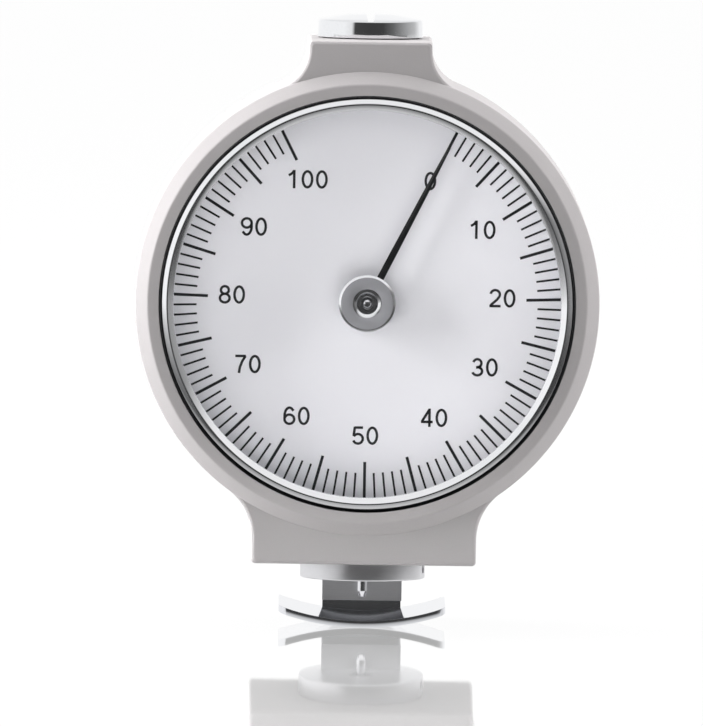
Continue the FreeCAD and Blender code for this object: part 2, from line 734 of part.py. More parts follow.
def make_main_spring():
    """Coil spring between the seat on the spindle and the adjuster in the neck."""
    margin = spring_wire / 2 + 0.02
    height = spring_high_z - spring_low_z - 2 * margin
    helix = Part.makeHelix(height / spring_turns, height, spring_mean_r)
    flats = []
    for i in range(spring_sides + 1):
        a = 2 * math.pi * i / spring_sides
        flats.append(V(spring_mean_r + spring_wire / 2 * math.cos(a), 0, spring_wire / 2 * math.sin(a)))
    coil = Part.Wire(helix).makePipeShell([Part.makePolygon(flats)], True, True)
    coil.translate(V(0, 0, spring_low_z + margin))
    return coil


def make_lower_guide_bush():
    top = presser_thick + spigot_len
    body = rod_z(guide_bush_r, presser_thick + bush_seat, top)
    body = body.fuse(rod_z(guide_flange_r, top, guide_bush_top_z)).removeSplitter()
    return body.cut(rod_z(spindle_r + slide_gap, 0, guide_bush_top_z))


def make_presser_foot():
    """Turned foot with a round spigot that screws into the case. A block at the back takes the strip."""
    top = presser_thick + spigot_len
    foot = turned_z([(indenter_hole_r, 0), (presser_r - presser_round, 0), (presser_r, presser_round),
                     (presser_r, presser_thick), (spigot_r, presser_thick), (spigot_r, top),
                     (guide_bush_r, top), (guide_bush_r, presser_thick + bush_seat),
                     (spindle_r + spindle_pocket_gap, presser_thick + bush_seat),
                     (spindle_r + spindle_pocket_gap, presser_floor), (indenter_hole_r, presser_floor)])
    foot = foot.fuse(box(-lug_half, lug_half, lug_front_y, lug_back_y, -lug_drop, presser_round))
    for sign in (-1, 1):
        foot = foot.cut(rod_y(strip_screw_r + slide_gap, lug_back_y - strip_screw_grip - fit_gap, lug_back_y,
                              sign * strip_screw_x, strip_screw_z))
    for degrees in (bar_hole_deg, bar_hole_deg + 180):
        a = math.radians(degrees)
        out = V(math.cos(a), math.sin(a), 0)
        base = V(out.x * (presser_r - 1.6), out.y * (presser_r - 1.6), presser_thick / 2)
        foot = foot.cut(Part.makeCylinder(bar_hole_r, 3, base, out))
    return foot


def make_foot_stirrup():
    """Polished strip bent up at the back. Its long lower leg is curved like a rocker."""
    back = strip_back_y
    top_z = -web_top_gap
    centre_z = strip_low_z + strip_curve_r
    outer = Part.makeCylinder(strip_curve_r, strip_depth, V(0, strip_front_y, centre_z), V(0, 1, 0))
    inner = Part.makeCylinder(strip_curve_r - strip_thick, strip_depth, V(0, strip_front_y, centre_z), V(0, 1, 0))
    shell = outer.cut(inner)
    half = strip_len / 2
    c = strip_corner
    front = strip_front_y
    plan = [
        Part.LineSegment(V(half, back, 0), V(-half, back, 0)),
        Part.LineSegment(V(-half, back, 0), V(-half, front + c, 0)),
        Part.Arc(V(-half, front + c, 0), V(-half + c * 0.293, front + c * 0.293, 0), V(-half + c, front, 0)),
        Part.LineSegment(V(-half + c, front, 0), V(half - c, front, 0)),
        Part.Arc(V(half - c, front, 0), V(half - c * 0.293, front + c * 0.293, 0), V(half, front + c, 0)),
        Part.LineSegment(V(half, front + c, 0), V(half, back, 0)),
    ]
    wire = Part.Wire([edge.toShape() for edge in plan])
    blank = Part.Face(wire).extrude(V(0, 0, centre_z))
    blank.translate(V(0, 0, strip_low_z - 1))
    leg = shell.common(blank)
    leg.rotate(V(0, front, strip_low_z), V(1, 0, 0), strip_tilt_deg)
    rear_low = strip_low_z + strip_depth * math.sin(math.radians(strip_tilt_deg))
    web = box(-web_half, web_half, lug_back_y, back, rear_low + strip_thick / 2 + 0.25, top_z)
    solid = leg.fuse(web).removeSplitter()
    for sign in (-1, 1):
        solid = solid.cut(rod_y(strip_screw_r + fit_gap, lug_back_y - 1, back + 1,
                                sign * strip_screw_x, strip_screw_z))
    return solid


def make_stirrup_screws():
    screws = []
    for sign in (-1, 1):
        x = sign * strip_screw_x
        head = slot_head(strip_screw_head_r, strip_back_y, strip_back_y + 0.7, x, strip_screw_z, 0.3, 1)
        screws.append(head.fuse(rod_y(strip_screw_r, lug_back_y - strip_screw_grip, strip_back_y, x,
                                      strip_screw_z)))
    return group(screws)


def make_spring_adjuster():
    """Threaded sleeve in the neck. It presses on the spring and guides the spindle's stem."""
    z0 = adjuster_bottom_z
    z1 = z0 + adjuster_len
    sleeve = ring_z(adjuster_r, stem_r + slide_gap, z0, z1)
    sleeve = sleeve.cut(rod_z(seat_r, z0, z0 + adjuster_recess))
    return sleeve.cut(box(-adjuster_r, adjuster_r, -0.4, 0.4, z1 - 0.7, z1))


def make_adjuster_locknut():
    z0 = adjuster_bottom_z + adjuster_len + 0.05
    nut = ring_z(adjuster_r, stem_r + 0.35, z0, z0 + locknut_thick)
    return nut.cut(box(-adjuster_r, adjuster_r, -0.4, 0.4, z0 + locknut_thick - 0.6, z0 + locknut_thick))


def make_cap_washer():
    return ring_z(cap_r - 0.5, adjuster_r + fit_gap, neck_top_z, neck_top_z + washer_thick)


def make_top_cap():
    """Chromed cap screw with a shallow crown and a slot from front to back."""
    z0 = neck_top_z + washer_thick
    z1 = z0 + cap_rim
    edge = 0.25
    points = [(0, z0 - cap_stem), (adjuster_r, z0 - cap_stem), (adjuster_r, z0), (cap_r, z0), (cap_r, z1 - edge),
              (cap_r - 0.3 * edge, z1 - 0.3 * edge), (cap_r - edge, z1), (cap_r - 1.2, z1 + 0.25 * cap_crown),
              (cap_r * 0.45, z1 + 0.8 * cap_crown), (0, z1 + cap_crown)]
    cap = turned_z(points)
    top = z1 + cap_crown
    low = top - cap_slot_d
    corners = [V(-cap_slot_w / 2, -cap_r, top), V(cap_slot_w / 2, -cap_r, top),
               V(cap_slot_low_w / 2, -cap_r, low), V(-cap_slot_low_w / 2, -cap_r, low)]
    slot = Part.Face(Part.makePolygon(corners + corners[:1])).extrude(V(0, 2 * cap_r, 0))
    return cap.cut(slot)


def make_pointer():
    """Thin tapered blade on a flat ring under the hub, drawn upright and turned to the 0 mark."""
    y0 = pointer_y - pointer_thick / 2
    start = 2.4
    neck = 0.78 * pointer_len
    points = [V(-pointer_root_w / 2, y0, dial_z + start), V(-0.21, y0, dial_z + neck),
              V(-pointer_tip_w / 2, y0, dial_z + pointer_len), V(pointer_tip_w / 2, y0, dial_z + pointer_len),
              V(0.21, y0, dial_z + neck), V(pointer_root_w / 2, y0, dial_z + start)]
    blade = Part.Face(Part.makePolygon(points + points[:1])).extrude(V(0, pointer_thick, 0))
    ring = ring_y(2.9, centre_pin_r + 0.7, y0, y0 + pointer_thick, 0, dial_z)
    return around_dial(blade.fuse(ring).removeSplitter(), zero_deg)


def make_pointer_hub():
    """Polished boss that holds the pointer on the arbor, with a conical recess round the centre pin."""
    front = hub_front_y
    back = pointer_y - pointer_thick / 2
    tail = pointer_y + pointer_thick / 2 + 0.6
    floor_r = hub_recess_r - hub_cone
    boss_r = centre_pin_r + hub_boss_wall
    collar_y = front + 0.2
    return turned_y([(hub_recess_r, front), (hub_r - hub_bevel, front), (hub_r, front + hub_bevel), (hub_r, back),
                     (centre_pin_r + 0.7, back), (centre_pin_r + 0.7, tail), (centre_pin_r, tail),
                     (centre_pin_r, collar_y), (boss_r, collar_y), (boss_r, front + hub_groove),
                     (floor_r, front + hub_groove), (floor_r, front + hub_cone)], 0, dial_z)


os.makedirs("parts", exist_ok=True)

write("case", make_case())
write("rear_cover", make_rear_cover())
write("cover_gasket", make_cover_gasket())
write("cover_screws", make_cover_screws())
write("bezel_ring", make_bezel_ring())
write("bezel_snap_ring", make_bezel_snap_ring())
write("crystal", make_crystal())
write("crystal_seal", make_crystal_seal())
write("spacer_ring", make_spacer_ring())
write("dial_plate", make_dial_plate())
write("front_plate", make_front_plate())
write("plate_screws", make_plate_screws())
write("pillars", make_pillars())
write("rear_bridge", make_rear_bridge())
write("bridge_screws", make_bridge_screws())
write("centre_bush_front", make_bush(front_plate_y, ledge_y, 0, dial_z, ledge_y, ledge_y + bush_lip,
                                     arbor_r + slide_gap))
write("centre_bush_rear", make_bush(bridge_y, bridge_back_y, 0, dial_z, bridge_y - bush_lip, bridge_y,
                                    arbor_r + slide_gap))
write("gear_bush_front", make_bush(front_plate_y, ledge_y, gear_x, gear_z, ledge_y, ledge_y + bush_lip,
                                   arbor_r + slide_gap))
write("gear_bush_rear", make_bush(bridge_y, bridge_back_y, gear_x, gear_z, bridge_y - bush_lip, bridge_y,
                                  arbor_r + slide_gap))
write("hairspring", make_hairspring())
write("hairspring_stud", make_hairspring_stud())
write("guide_fork", make_guide_fork())
write("fork_screws", make_fork_screws())
write("lower_guide_bush", make_lower_guide_bush())
write("spring_adjuster", make_spring_adjuster())
write("adjuster_locknut", make_adjuster_locknut())
write("cap_washer", make_cap_washer())
write("top_cap", make_top_cap())
write("presser_foot", make_presser_foot())
write("foot_stirrup", make_foot_stirrup())
write("stirrup_screws", make_stirrup_screws())
write("main_spring", make_main_spring())

write("spindle", make_spindle())
write("indenter", make_indenter())
write("guide_pin", make_guide_pin())
write("spring_seat", make_spring_seat())

write("gear_arbor", make_gear_arbor())
write("rack_pinion", make_rack_pinion())
write("drive_wheel", make_drive_wheel())
write("wheel_hub", make_wheel_hub())

write("centre_arbor", make_centre_arbor())
write("centre_pinion", make_centre_pinion())
write("hairspring_collet", make_hairspring_collet())
write("pointer", make_pointer())
write("pointer_hub", make_pointer_hub())

print("gear arbor at", round(gear_x, 3), round(gear_z, 3), "rack pitch", round(rack_pitch, 4))
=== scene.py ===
# %% [markdown]
# # A dial hardness tester, dressed step by step
#
# The object is a pocket instrument: a painted round case with a glazed dial, a slim black
# pointer, a chromed cap on its neck, and a steel foot with a fine indenter and a bent guard
# strip below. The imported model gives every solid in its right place. Here each visible solid
# gets a fine mesh and a finish, and the hidden works get the metals that they are made of.

import math
from functools import partial

import bmesh
import bpy
from mathutils import Matrix, Vector


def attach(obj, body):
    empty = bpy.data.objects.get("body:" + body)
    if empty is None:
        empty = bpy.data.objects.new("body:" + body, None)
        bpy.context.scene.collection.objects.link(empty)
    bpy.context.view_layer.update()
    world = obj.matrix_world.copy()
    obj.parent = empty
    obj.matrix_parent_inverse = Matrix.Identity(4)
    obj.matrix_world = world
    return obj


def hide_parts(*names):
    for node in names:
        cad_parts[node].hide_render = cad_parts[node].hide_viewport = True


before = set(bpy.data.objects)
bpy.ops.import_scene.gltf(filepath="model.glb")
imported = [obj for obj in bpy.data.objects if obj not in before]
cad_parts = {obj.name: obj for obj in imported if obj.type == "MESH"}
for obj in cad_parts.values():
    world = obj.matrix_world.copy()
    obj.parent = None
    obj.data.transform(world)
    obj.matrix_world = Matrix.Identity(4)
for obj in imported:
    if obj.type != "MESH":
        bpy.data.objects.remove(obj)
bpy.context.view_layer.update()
MM = 0.001

# %% [markdown]
# ## Sizes
#
# Blender works in metres, and a maker thinks in millimetres, so sizes are written in
# millimetres and multiplied by MM where a mesh is made. The dial faces -Y, and the origin is
# the middle of the presser foot's lower face.

# %% Sizes that several pieces share
DIAL_Z = 35.15           # height of the dial's centre
DIAL_CENTRE = Vector((0, 0, DIAL_Z))
FACE_Y = -14.7           # front of the round case
SHOULDER_Y = -13.5       # front of neck and foot
BACK_Y = 9.1             # back of the case
CASE_R = 29.0
BORE_R = 26.0            # hole in the case for the bezel
DIAL_Y = -9.9            # front of the dial
MARKS = 101              # one for each point of hardness from 0 to 100
ZERO_DEG = 27.0          # the 0 mark, clockwise from the top
STEP_DEG = 3.06          # from one mark to the next
STRIP_SCREW_X, STRIP_SCREW_Z = 3.6, -1.6     # screws of the guard strip
print("the scale turns through", round(STEP_DEG * (MARKS - 1)), "degrees")

# %% [markdown]
# ## Mesh helpers
#
# Most of the pieces are turned on a lathe, and Blender can do the same: a profile is swept
# round an axis. The profile is a list of (radius, height) pairs. Corners that the real part
# has rounded are rounded in the profile, because a rounded edge catches the light and a
# perfectly sharp one never does.

# %% From points to a clean object
def mesh_object(name, points, faces):
    mesh = bpy.data.meshes.new(name)
    mesh.from_pydata([tuple(c * MM for c in p) for p in points], [], faces)
    obj = bpy.data.objects.new(name, mesh)
    bpy.context.scene.collection.objects.link(obj)
    return obj


def tidy(obj, sharp_deg=32):
    """Merge doubles, point the faces outwards and keep only real edges sharp."""
    bm = bmesh.new()
    bm.from_mesh(obj.data)
    bmesh.ops.remove_doubles(bm, verts=bm.verts, dist=1e-7)
    bmesh.ops.dissolve_degenerate(bm, edges=bm.edges, dist=1e-8)
    bmesh.ops.recalc_face_normals(bm, faces=bm.faces)
    bm.to_mesh(obj.data)
    bm.free()
    obj.data.shade_smooth()
    obj.data.set_sharp_from_angle(angle=math.radians(sharp_deg))
    return obj


def apply_steps(obj):
    """Make the result of all modifiers the object's own mesh."""
    graph = bpy.context.evaluated_depsgraph_get()
    mesh = bpy.data.meshes.new_from_object(obj.evaluated_get(graph))
    obj.modifiers.clear()
    obj.data = mesh
    return obj


def loft(name, sections, sharp_deg=32):
    """Join sections with equally many points by bands of faces, and close both ends."""
    count = len(sections[0])
    points = [point for section in sections for point in section]
    last = len(points) - count
    faces = [tuple(range(count)), tuple(range(last, len(points)))]
    for first in range(0, last, count):
        for i in range(count):
            j = (i + 1) % count
            faces.append((first + i, first + j, first + count + j, first + count + i))
    return tidy(mesh_object(name, points, faces), sharp_deg)


print("mesh helpers ready")


# %% Turned pieces
def axis_y_at(x, z):
    """Base, two directions across and one along an axis that runs from front to back."""
    return (Vector((x, 0, z)), Vector((1, 0, 0)), Vector((0, 0, 1)), Vector((0, 1, 0)))


AXIS_Z = (Vector((0, 0, 0)), Vector((1, 0, 0)), Vector((0, 1, 0)), Vector((0, 0, 1)))
AXIS_DIAL = axis_y_at(0, DIAL_Z)


def lathe(name, profile, axis=AXIS_Z, steps=192, closed=True):
    """Sweep a profile of (radius, along) round an axis. A closed profile gives a ring."""
    base, side, other, along = axis
    points, rows = [], []
    for r, h in profile:
        row = []
        count = 1 if r < 1e-6 else steps
        for i in range(count):
            a = 2 * math.pi * i / steps
            points.append(base + side * (r * math.cos(a)) + other * (r * math.sin(a)) + along * h)
            row.append(len(points) - 1)
        rows.append(row)
    faces = []
    pairs = list(zip(rows, rows[1:]))
    if closed:
        pairs.append((rows[-1], rows[0]))
    for a, b in pairs:
        for i in range(steps):
            j = (i + 1) % steps
            quad = [a[i % len(a)], a[j % len(a)], b[j % len(b)], b[i % len(b)]]
            corners = [c for k, c in enumerate(quad) if c not in quad[:k]]
            if len(corners) > 2:
                faces.append(corners)
    return tidy(mesh_object(name, points, faces))


def rounded(profile, radius, steps=4):
    """Round every inner corner of an open profile by about radius."""
    out = [profile[0]]
    for before, corner, after in zip(profile, profile[1:], profile[2:]):
        b, c, a = Vector(before), Vector(corner), Vector(after)
        reach = min(radius, (b - c).length * 0.45, (a - c).length * 0.45)
        p, q = c + (b - c).normalized() * reach, c + (a - c).normalized() * reach
        for i in range(steps + 1):
            t = i / steps
            out.append(tuple(p * (1 - t) ** 2 + c * (2 * t * (1 - t)) + q * t ** 2))
    return out + [profile[-1]]


def plug(radius, low, high):
    """Profile of a plain cylinder, for a disc or a drill."""
    return [(0, low), (radius, low), (radius, high), (0, high)]


print("lathe ready")


# %% Cutting one mesh with another
def cut(obj, tool, operation="DIFFERENCE"):
    """Exact boolean, applied at once. The tool object is used up."""
    step = obj.modifiers.new("cut", "BOOLEAN")
    step.operation = operation
    step.solver = "EXACT"
    step.object = tool
    apply_steps(obj)
    bpy.data.objects.remove(tool)
    return tidy(obj)


def drill(obj, radius, low, high, axis=AXIS_Z, steps=64):
    """A plain round hole along an axis."""
    return cut(obj, lathe("drill", plug(radius, low, high), axis, steps))


def block(name, x0, x1, y0, y1, z0, z1):
    points = [(x, y, z) for x in (x0, x1) for y in (y0, y1) for z in (z0, z1)]
    faces = [(0, 1, 3, 2), (4, 6, 7, 5), (0, 4, 5, 1), (2, 3, 7, 6), (0, 2, 6, 4), (1, 5, 7, 3)]
    return tidy(mesh_object(name, points, faces))


def bevelled(obj, width, segments=3, angle_deg=40):
    """Small rounding along every real edge, applied to the mesh."""
    step = obj.modifiers.new("edge", "BEVEL")
    step.width = width * MM
    step.segments = segments
    step.limit_method = "ANGLE"
    step.angle_limit = math.radians(angle_deg)
    return tidy(apply_steps(obj))


print("cutting and bevels ready")

# %% [markdown]
# ## Finishes
#
# A finish is a small node tree. Texture Coordinate's Object output gives the place on the
# piece in metres, a noise at the right scale gives the grain, and the same noise drives a
# little colour, roughness and bump, so that the three agree as they do on a real surface.
# Turned metal gets its grain from the distance to the axis instead, which makes the fine
# rings that a lathe tool leaves.

# %% Small helpers for node trees
def add_node(tree, kind, inputs, **settings):
    """A new node. inputs is {name or index: number, colour or socket to link}."""
    node = tree.nodes.new(kind)
    for name, value in settings.items():
        setattr(node, name, value)
    for key, value in inputs.items():
        if isinstance(value, bpy.types.NodeSocket):
            tree.links.new(value, node.inputs[key])
        elif value is not None:
            node.inputs[key].default_value = value
    return node


def math_node(tree, operation, a, b=None, clamp=False):
    """One step of arithmetic. a and b are numbers or sockets."""
    inputs = {0: a, 1: b}
    return add_node(tree, "ShaderNodeMath", inputs, operation=operation, use_clamp=clamp).outputs[0]


def map_range(tree, value, source, target=(0.0, 1.0)):
    """Carry a value from one range over to another, and stop at its ends."""
    ends = dict(zip(("From Min", "From Max", "To Min", "To Max"), (*source, *target)))
    return add_node(tree, "ShaderNodeMapRange", {"Value": value, **ends}).outputs["Result"]


def mix_colours(tree, share, first, second):
    inputs = {0: share, 6: first, 7: second}
    return add_node(tree, "ShaderNodeMix", inputs, data_type="RGBA").outputs[2]


def mix_shaders(tree, share, first, second):
    """Blend two shaders. Where share is 1, only the second is left."""
    return add_node(tree, "ShaderNodeMixShader", {0: share, 1: first, 2: second}).outputs[0]


def object_place(tree):
    """The place on the piece, in metres."""
    return add_node(tree, "ShaderNodeTexCoord", {}).outputs["Object"]


print("node helpers ready")


# %% A tree with grain
def start_material(name, **inputs):
    """A material with one Principled shader. inputs are its values, with _ for a space."""
    material = bpy.data.materials.new(name)
    material.use_nodes = True
    tree = material.node_tree
    tree.nodes.clear()
    values = {key.replace("_", " "): value for key, value in inputs.items()}
    shader = add_node(tree, "ShaderNodeBsdfPrincipled", values)
    add_node(tree, "ShaderNodeOutputMaterial", {"Surface": shader.outputs["BSDF"]})
    return material, tree, shader


def add_grain(tree, shader, value, colour, vary, rough, rough_vary, bump, depth):
    """Let one noise value drive colour, roughness and bump."""
    low = (*[c * (1 - vary) for c in colour], 1)
    high = (*[min(1, c * (1 + vary)) for c in colour], 1)
    gloss = map_range(tree, value, (0.0, 1.0), (max(0.0, rough - rough_vary), rough + rough_vary))
    tree.links.new(mix_colours(tree, value, low, high), shader.inputs["Base Color"])
    tree.links.new(gloss, shader.inputs["Roughness"])
    if bump:
        relief = add_node(tree, "ShaderNodeBump", {"Strength": bump, "Distance": depth, "Height": value})
        tree.links.new(relief.outputs["Normal"], shader.inputs["Normal"])


def grained(name, colour, metallic, rough, grain=900.0, stretch=(1, 1, 1), vary=0.04, rough_vary=0.04,
            bump=0.15, depth=0.00002, coat=0.0):
    """A finish with an even or stretched grain. grain is in spots per metre."""
    material, tree, shader = start_material(name, Metallic=metallic, Coat_Weight=coat)
    where = add_node(tree, "ShaderNodeMapping", {"Vector": object_place(tree), "Scale": stretch})
    inputs = {"Vector": where.outputs["Vector"], "Scale": grain, "Detail": 4.0}
    noise = add_node(tree, "ShaderNodeTexNoise", inputs).outputs["Fac"]
    add_grain(tree, shader, noise, colour, vary, rough, rough_vary, bump, depth)
    return material


def turned(name, colour, rough, centre, plane, rings=9000.0, vary=0.05, rough_vary=0.05, bump=0.02,
           depth=0.00001, metallic=1.0):
    """Metal with lathe rings round an axis. plane names the two directions across the axis."""
    material, tree, shader = start_material(name, Metallic=metallic)
    inputs = {"Vector": object_place(tree), "Location": [-c * MM for c in centre],
              "Scale": [1 if axis in plane else 0 for axis in "XYZ"]}
    where = add_node(tree, "ShaderNodeMapping", inputs).outputs["Vector"]
    reach = add_node(tree, "ShaderNodeVectorMath", {0: where}, operation="LENGTH").outputs["Value"]
    inputs = {"W": reach, "Scale": rings, "Detail": 3.0}
    noise = add_node(tree, "ShaderNodeTexNoise", inputs, noise_dimensions="1D").outputs["Fac"]
    add_grain(tree, shader, noise, colour, vary, rough, rough_vary, bump, depth)
    return material


print("finish builders ready")

# %% [markdown]
# The finishes themselves. The case has a fine-textured paint in a warm light grey. The bezel
# and hub are turned and polished, the cap is chromed, the presser foot is satin, and the
# guard strip is a mirror. The dial is silver white and a little mottled, like sprayed metal.

# %% The finishes of this tester
paint = grained("case_paint", (0.246, 0.235, 0.237), 0.0, 0.52, grain=5200.0, vary=0.035,
                rough_vary=0.06, bump=0.32, depth=0.00003)
# Painted shade: a near black finish for the case's bore wall, standing in for the shade deep in the gap
# round the bezel
bore_painted_shade = grained("bore_painted_shade", (0.028, 0.028, 0.030), 0.0, 0.8, grain=3000.0, vary=0.2, bump=0.1)
bezel_steel = turned("bezel_steel", (0.90, 0.905, 0.925), 0.12, DIAL_CENTRE, "XZ")
hub_steel = turned("hub_steel", (0.41, 0.41, 0.435), 0.2, DIAL_CENTRE, "XZ", rings=14000.0, metallic=0.5)
cap_chrome = grained("cap_chrome", (0.86, 0.87, 0.89), 1.0, 0.055, grain=2500.0, bump=0.02,
                     rough_vary=0.025)
satin_steel = grained("satin_steel", (0.76, 0.76, 0.78), 1.0, 0.35, grain=900.0, stretch=(1, 1, 16),
                      vary=0.07, rough_vary=0.07, bump=0.14)
mirror_steel = grained("mirror_steel", (0.80, 0.81, 0.84), 1.0, 0.07, grain=700.0, stretch=(1, 6, 1),
                       vary=0.03, rough_vary=0.03, bump=0.05)
pin_steel = grained("pin_steel", (0.82, 0.82, 0.85), 1.0, 0.14, grain=3000.0, stretch=(1, 1, 8), bump=0.05)
dial_silver = grained("dial_silver", (0.84, 0.835, 0.875), 0.10, 0.42, grain=3800.0, vary=0.02,
                      rough_vary=0.04, bump=0.05)
print_black = grained("print_black", (0.014, 0.014, 0.017), 0.0, 0.5, grain=3000.0, vary=0.25, bump=0.0)
pointer_black = grained("pointer_black", (0.008, 0.008, 0.009), 0.0, 0.34, grain=2500.0, vary=0.3,
                        bump=0.04, coat=0.3)
brass = grained("movement_brass", (0.78, 0.58, 0.27), 1.0, 0.28, grain=1500.0, stretch=(1, 1, 4))
bronze = grained("bush_bronze", (0.62, 0.40, 0.21), 1.0, 0.32, grain=1800.0)
ground_steel = grained("ground_steel", (0.62, 0.63, 0.66), 1.0, 0.24, grain=1600.0, stretch=(1, 1, 10))
spring_steel = grained("spring_steel", (0.42, 0.44, 0.48), 1.0, 0.25, grain=2200.0)
screw_steel = grained("screw_steel", (0.70, 0.71, 0.74), 1.0, 0.22, grain=2600.0)
rubber = grained("seal_rubber", (0.018, 0.018, 0.018), 0.0, 0.75, grain=3000.0, vary=0.2)
grey_metal = grained("spacer_aluminium", (0.55, 0.56, 0.58), 1.0, 0.38, grain=1700.0)
print("materials:", len(bpy.data.materials))

# %% [markdown]
# ## The glass
#
# The crystal is clear and flat. A true glass shader stops the soft light before it reaches
# the dial, so shadow, diffuse and mirrored rays pass the glass as if it weren't there, and
# only what the eye sees directly gets the glass's own gloss.

# %% Clear crystal
def clear_glass(name):
    material, tree, shader = start_material(name, Transmission_Weight=1.0, IOR=1.46)
    inputs = {"Vector": object_place(tree), "Scale": 400.0}
    noise = add_node(tree, "ShaderNodeTexNoise", inputs).outputs["Fac"]
    add_grain(tree, shader, noise, (0.985, 0.99, 0.99), vary=0.004, rough=0.006, rough_vary=0.004,
              bump=0, depth=0)
    through = add_node(tree, "ShaderNodeBsdfTransparent", {}).outputs[0]
    rays = add_node(tree, "ShaderNodeLightPath", {}).outputs
    passes = math_node(tree, "MAXIMUM", rays["Is Shadow Ray"], rays["Is Diffuse Ray"])
    passes = math_node(tree, "MAXIMUM", passes, rays["Is Glossy Ray"])
    shown = mix_shaders(tree, passes, shader.outputs["BSDF"], through)
    tree.links.new(shown, tree.nodes["Material Output"].inputs["Surface"])
    return material


crystal_glass = clear_glass("crystal_glass")
print("glass ready")


# %% A piece joins the model
def place(obj, body, material, slot, *nodes):
    """Give a finished piece its material and body, and hide the solid that it stands for.

    Normals are weighted by area first, so that a flat face stays flat up to its rounded edge. The slot
    argument is not used.
    """
    step = obj.modifiers.new("even", "WEIGHTED_NORMAL")
    step.keep_sharp = True
    apply_steps(obj)
    obj.data.materials.clear()
    obj.data.materials.append(material)
    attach(obj, body)
    if nodes:
        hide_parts(*nodes)
    return obj


print("pieces can join the model")

# %% [markdown]
# ## The case
#
# The case is a casting: a round housing with a neck and a foot that flow into it through
# hollow curves. Its outline is drawn once, with a point every fraction of a millimetre, and
# lofted from front to back through a few sections. The sides open a little towards the back,
# as a casting's do, and the edges are broken. The proud round front is turned, so it is a
# lathe piece that is joined to the loft, and the bores are cut out of both.

# %% The outline of the case
NECK_HALF, NECK_TOP, NECK_HOLLOW = 7.7, 67.9, 5.25
FOOT_HALF, FOOT_LOW, FOOT_HOLLOW = 14.05, 2.5, 7.4
CORNER = 0.5
CORNER_STEPS, NECK_STEPS, ROUND_STEPS, FOOT_STEPS = 5, 24, 150, 30


def arc(cx, cz, r, start, end, steps):
    return [(cx + r * math.cos(start + (end - start) * i / steps),
             cz + r * math.sin(start + (end - start) * i / steps)) for i in range(steps + 1)]


def case_outline(grow, inset):
    """Right half from top to bottom, then mirrored. grow widens, inset draws everything in."""
    out = grow - inset
    neck, foot, round_r = NECK_HALF + out, FOOT_HALF + out, CASE_R + out
    neck_r, foot_r = NECK_HOLLOW - out, FOOT_HOLLOW - out
    top, low = NECK_TOP - inset, FOOT_LOW + inset
    nx, fx = neck + neck_r, foot + foot_r
    nz = DIAL_Z + math.sqrt((round_r + neck_r) ** 2 - nx ** 2)
    fz = DIAL_Z - math.sqrt((round_r + foot_r) ** 2 - fx ** 2)
    up = math.atan2(nz - DIAL_Z, nx)
    down = math.atan2(fz - DIAL_Z, fx)
    right = arc(neck - CORNER, top - CORNER, CORNER, math.pi / 2, 0, CORNER_STEPS)
    right += arc(nx, nz, neck_r, math.pi, math.pi + up, NECK_STEPS)
    right += arc(0, DIAL_Z, round_r, up, down, ROUND_STEPS)[1:]
    right += arc(fx, fz, foot_r, math.pi + down, math.pi, FOOT_STEPS)[1:]
    right += arc(foot - CORNER, low + CORNER, CORNER, 0, -math.pi / 2, CORNER_STEPS)
    return right + [(-x, z) for x, z in reversed(right)]


print("outline points:", len(case_outline(0, 0)))

# %% Loft, round front and bores
EDGE, DRAFT = 0.45, 0.15            # broken edge, and how far the sides open to the back
CHAMFER, JOIN_Y = 1.6, -12.0        # the round front starts inside the casting
LEDGE_R, LEDGE_Y = 24.95, DIAL_Y - 0.3
COVER_SEAT_R, COVER_SEAT_Y = 27.0, BACK_Y - 1.3
SPIGOT_HOLE_R, SPIGOT_HOLE_TOP = 5.55, 14.0
NECK_HOLE_R, NECK_HOLE_LOW = 4.0, 56.0
FINE = 384                          # points round a large ring
sections = [(SHOULDER_Y, 0, EDGE), (SHOULDER_Y + 0.05, 0, EDGE * 0.62),
            (SHOULDER_Y + 0.17, 0, EDGE * 0.2), (SHOULDER_Y + EDGE, 0, 0), (BACK_Y - EDGE, DRAFT, 0),
            (BACK_Y - 0.12, DRAFT, EDGE * 0.3), (BACK_Y, DRAFT, EDGE)]
case = loft("case_shell", [[(x, y, z) for x, z in case_outline(grow, inset)]
                           for y, grow, inset in sections])
front = rounded([(0, JOIN_Y), (CASE_R, JOIN_Y), (CASE_R, SHOULDER_Y), (CASE_R - CHAMFER, FACE_Y),
                 (0, FACE_Y)], 0.2, 5)
cut(case, lathe("round_front", front, AXIS_DIAL, FINE), "UNION")
bore = rounded([(0, FACE_Y - 1), (BORE_R + 0.9, FACE_Y - 1), (BORE_R + 0.05, FACE_Y),
                (BORE_R, FACE_Y + 0.1), (BORE_R, LEDGE_Y), (LEDGE_R, LEDGE_Y),
                (LEDGE_R, BACK_Y - 1.2), (0, BACK_Y - 1.2)], 0.05, 2)
cut(case, lathe("front_bore", bore, AXIS_DIAL, FINE))
seat = [(0, COVER_SEAT_Y), (COVER_SEAT_R, COVER_SEAT_Y), (COVER_SEAT_R, BACK_Y - 0.12),
        (COVER_SEAT_R + 0.15, BACK_Y + 0.05), (COVER_SEAT_R + 0.15, BACK_Y + 1), (0, BACK_Y + 1)]
cut(case, lathe("cover_seat", seat, AXIS_DIAL, FINE))
drill(case, SPIGOT_HOLE_R, 0, SPIGOT_HOLE_TOP, steps=96)
drill(case, NECK_HOLE_R, NECK_HOLE_LOW, NECK_TOP + 2.1, steps=96)
print("case faces:", len(case.data.polygons))

# %% Paint outside, and painted shade in the bore
place(case, "case_body", paint, "case_paint", "case")
case.data.materials.append(bore_painted_shade)


def reach_from_dial(face):
    """Distance of a face from the dial's axis, in millimetres."""
    off = face.center / MM - DIAL_CENTRE
    return math.hypot(off.x, off.z)


# Faces of the bore wall between the bezel and the dial get the near black finish: painted shade for the
# dark gap, not a colour of the case
for face in case.data.polygons:
    deep = FACE_Y + 0.1 < face.center.y / MM < DIAL_Y + 2
    face.material_index = int(deep and reach_from_dial(face) < BORE_R + 0.06)
print("black faces:", sum(face.material_index for face in case.data.polygons))
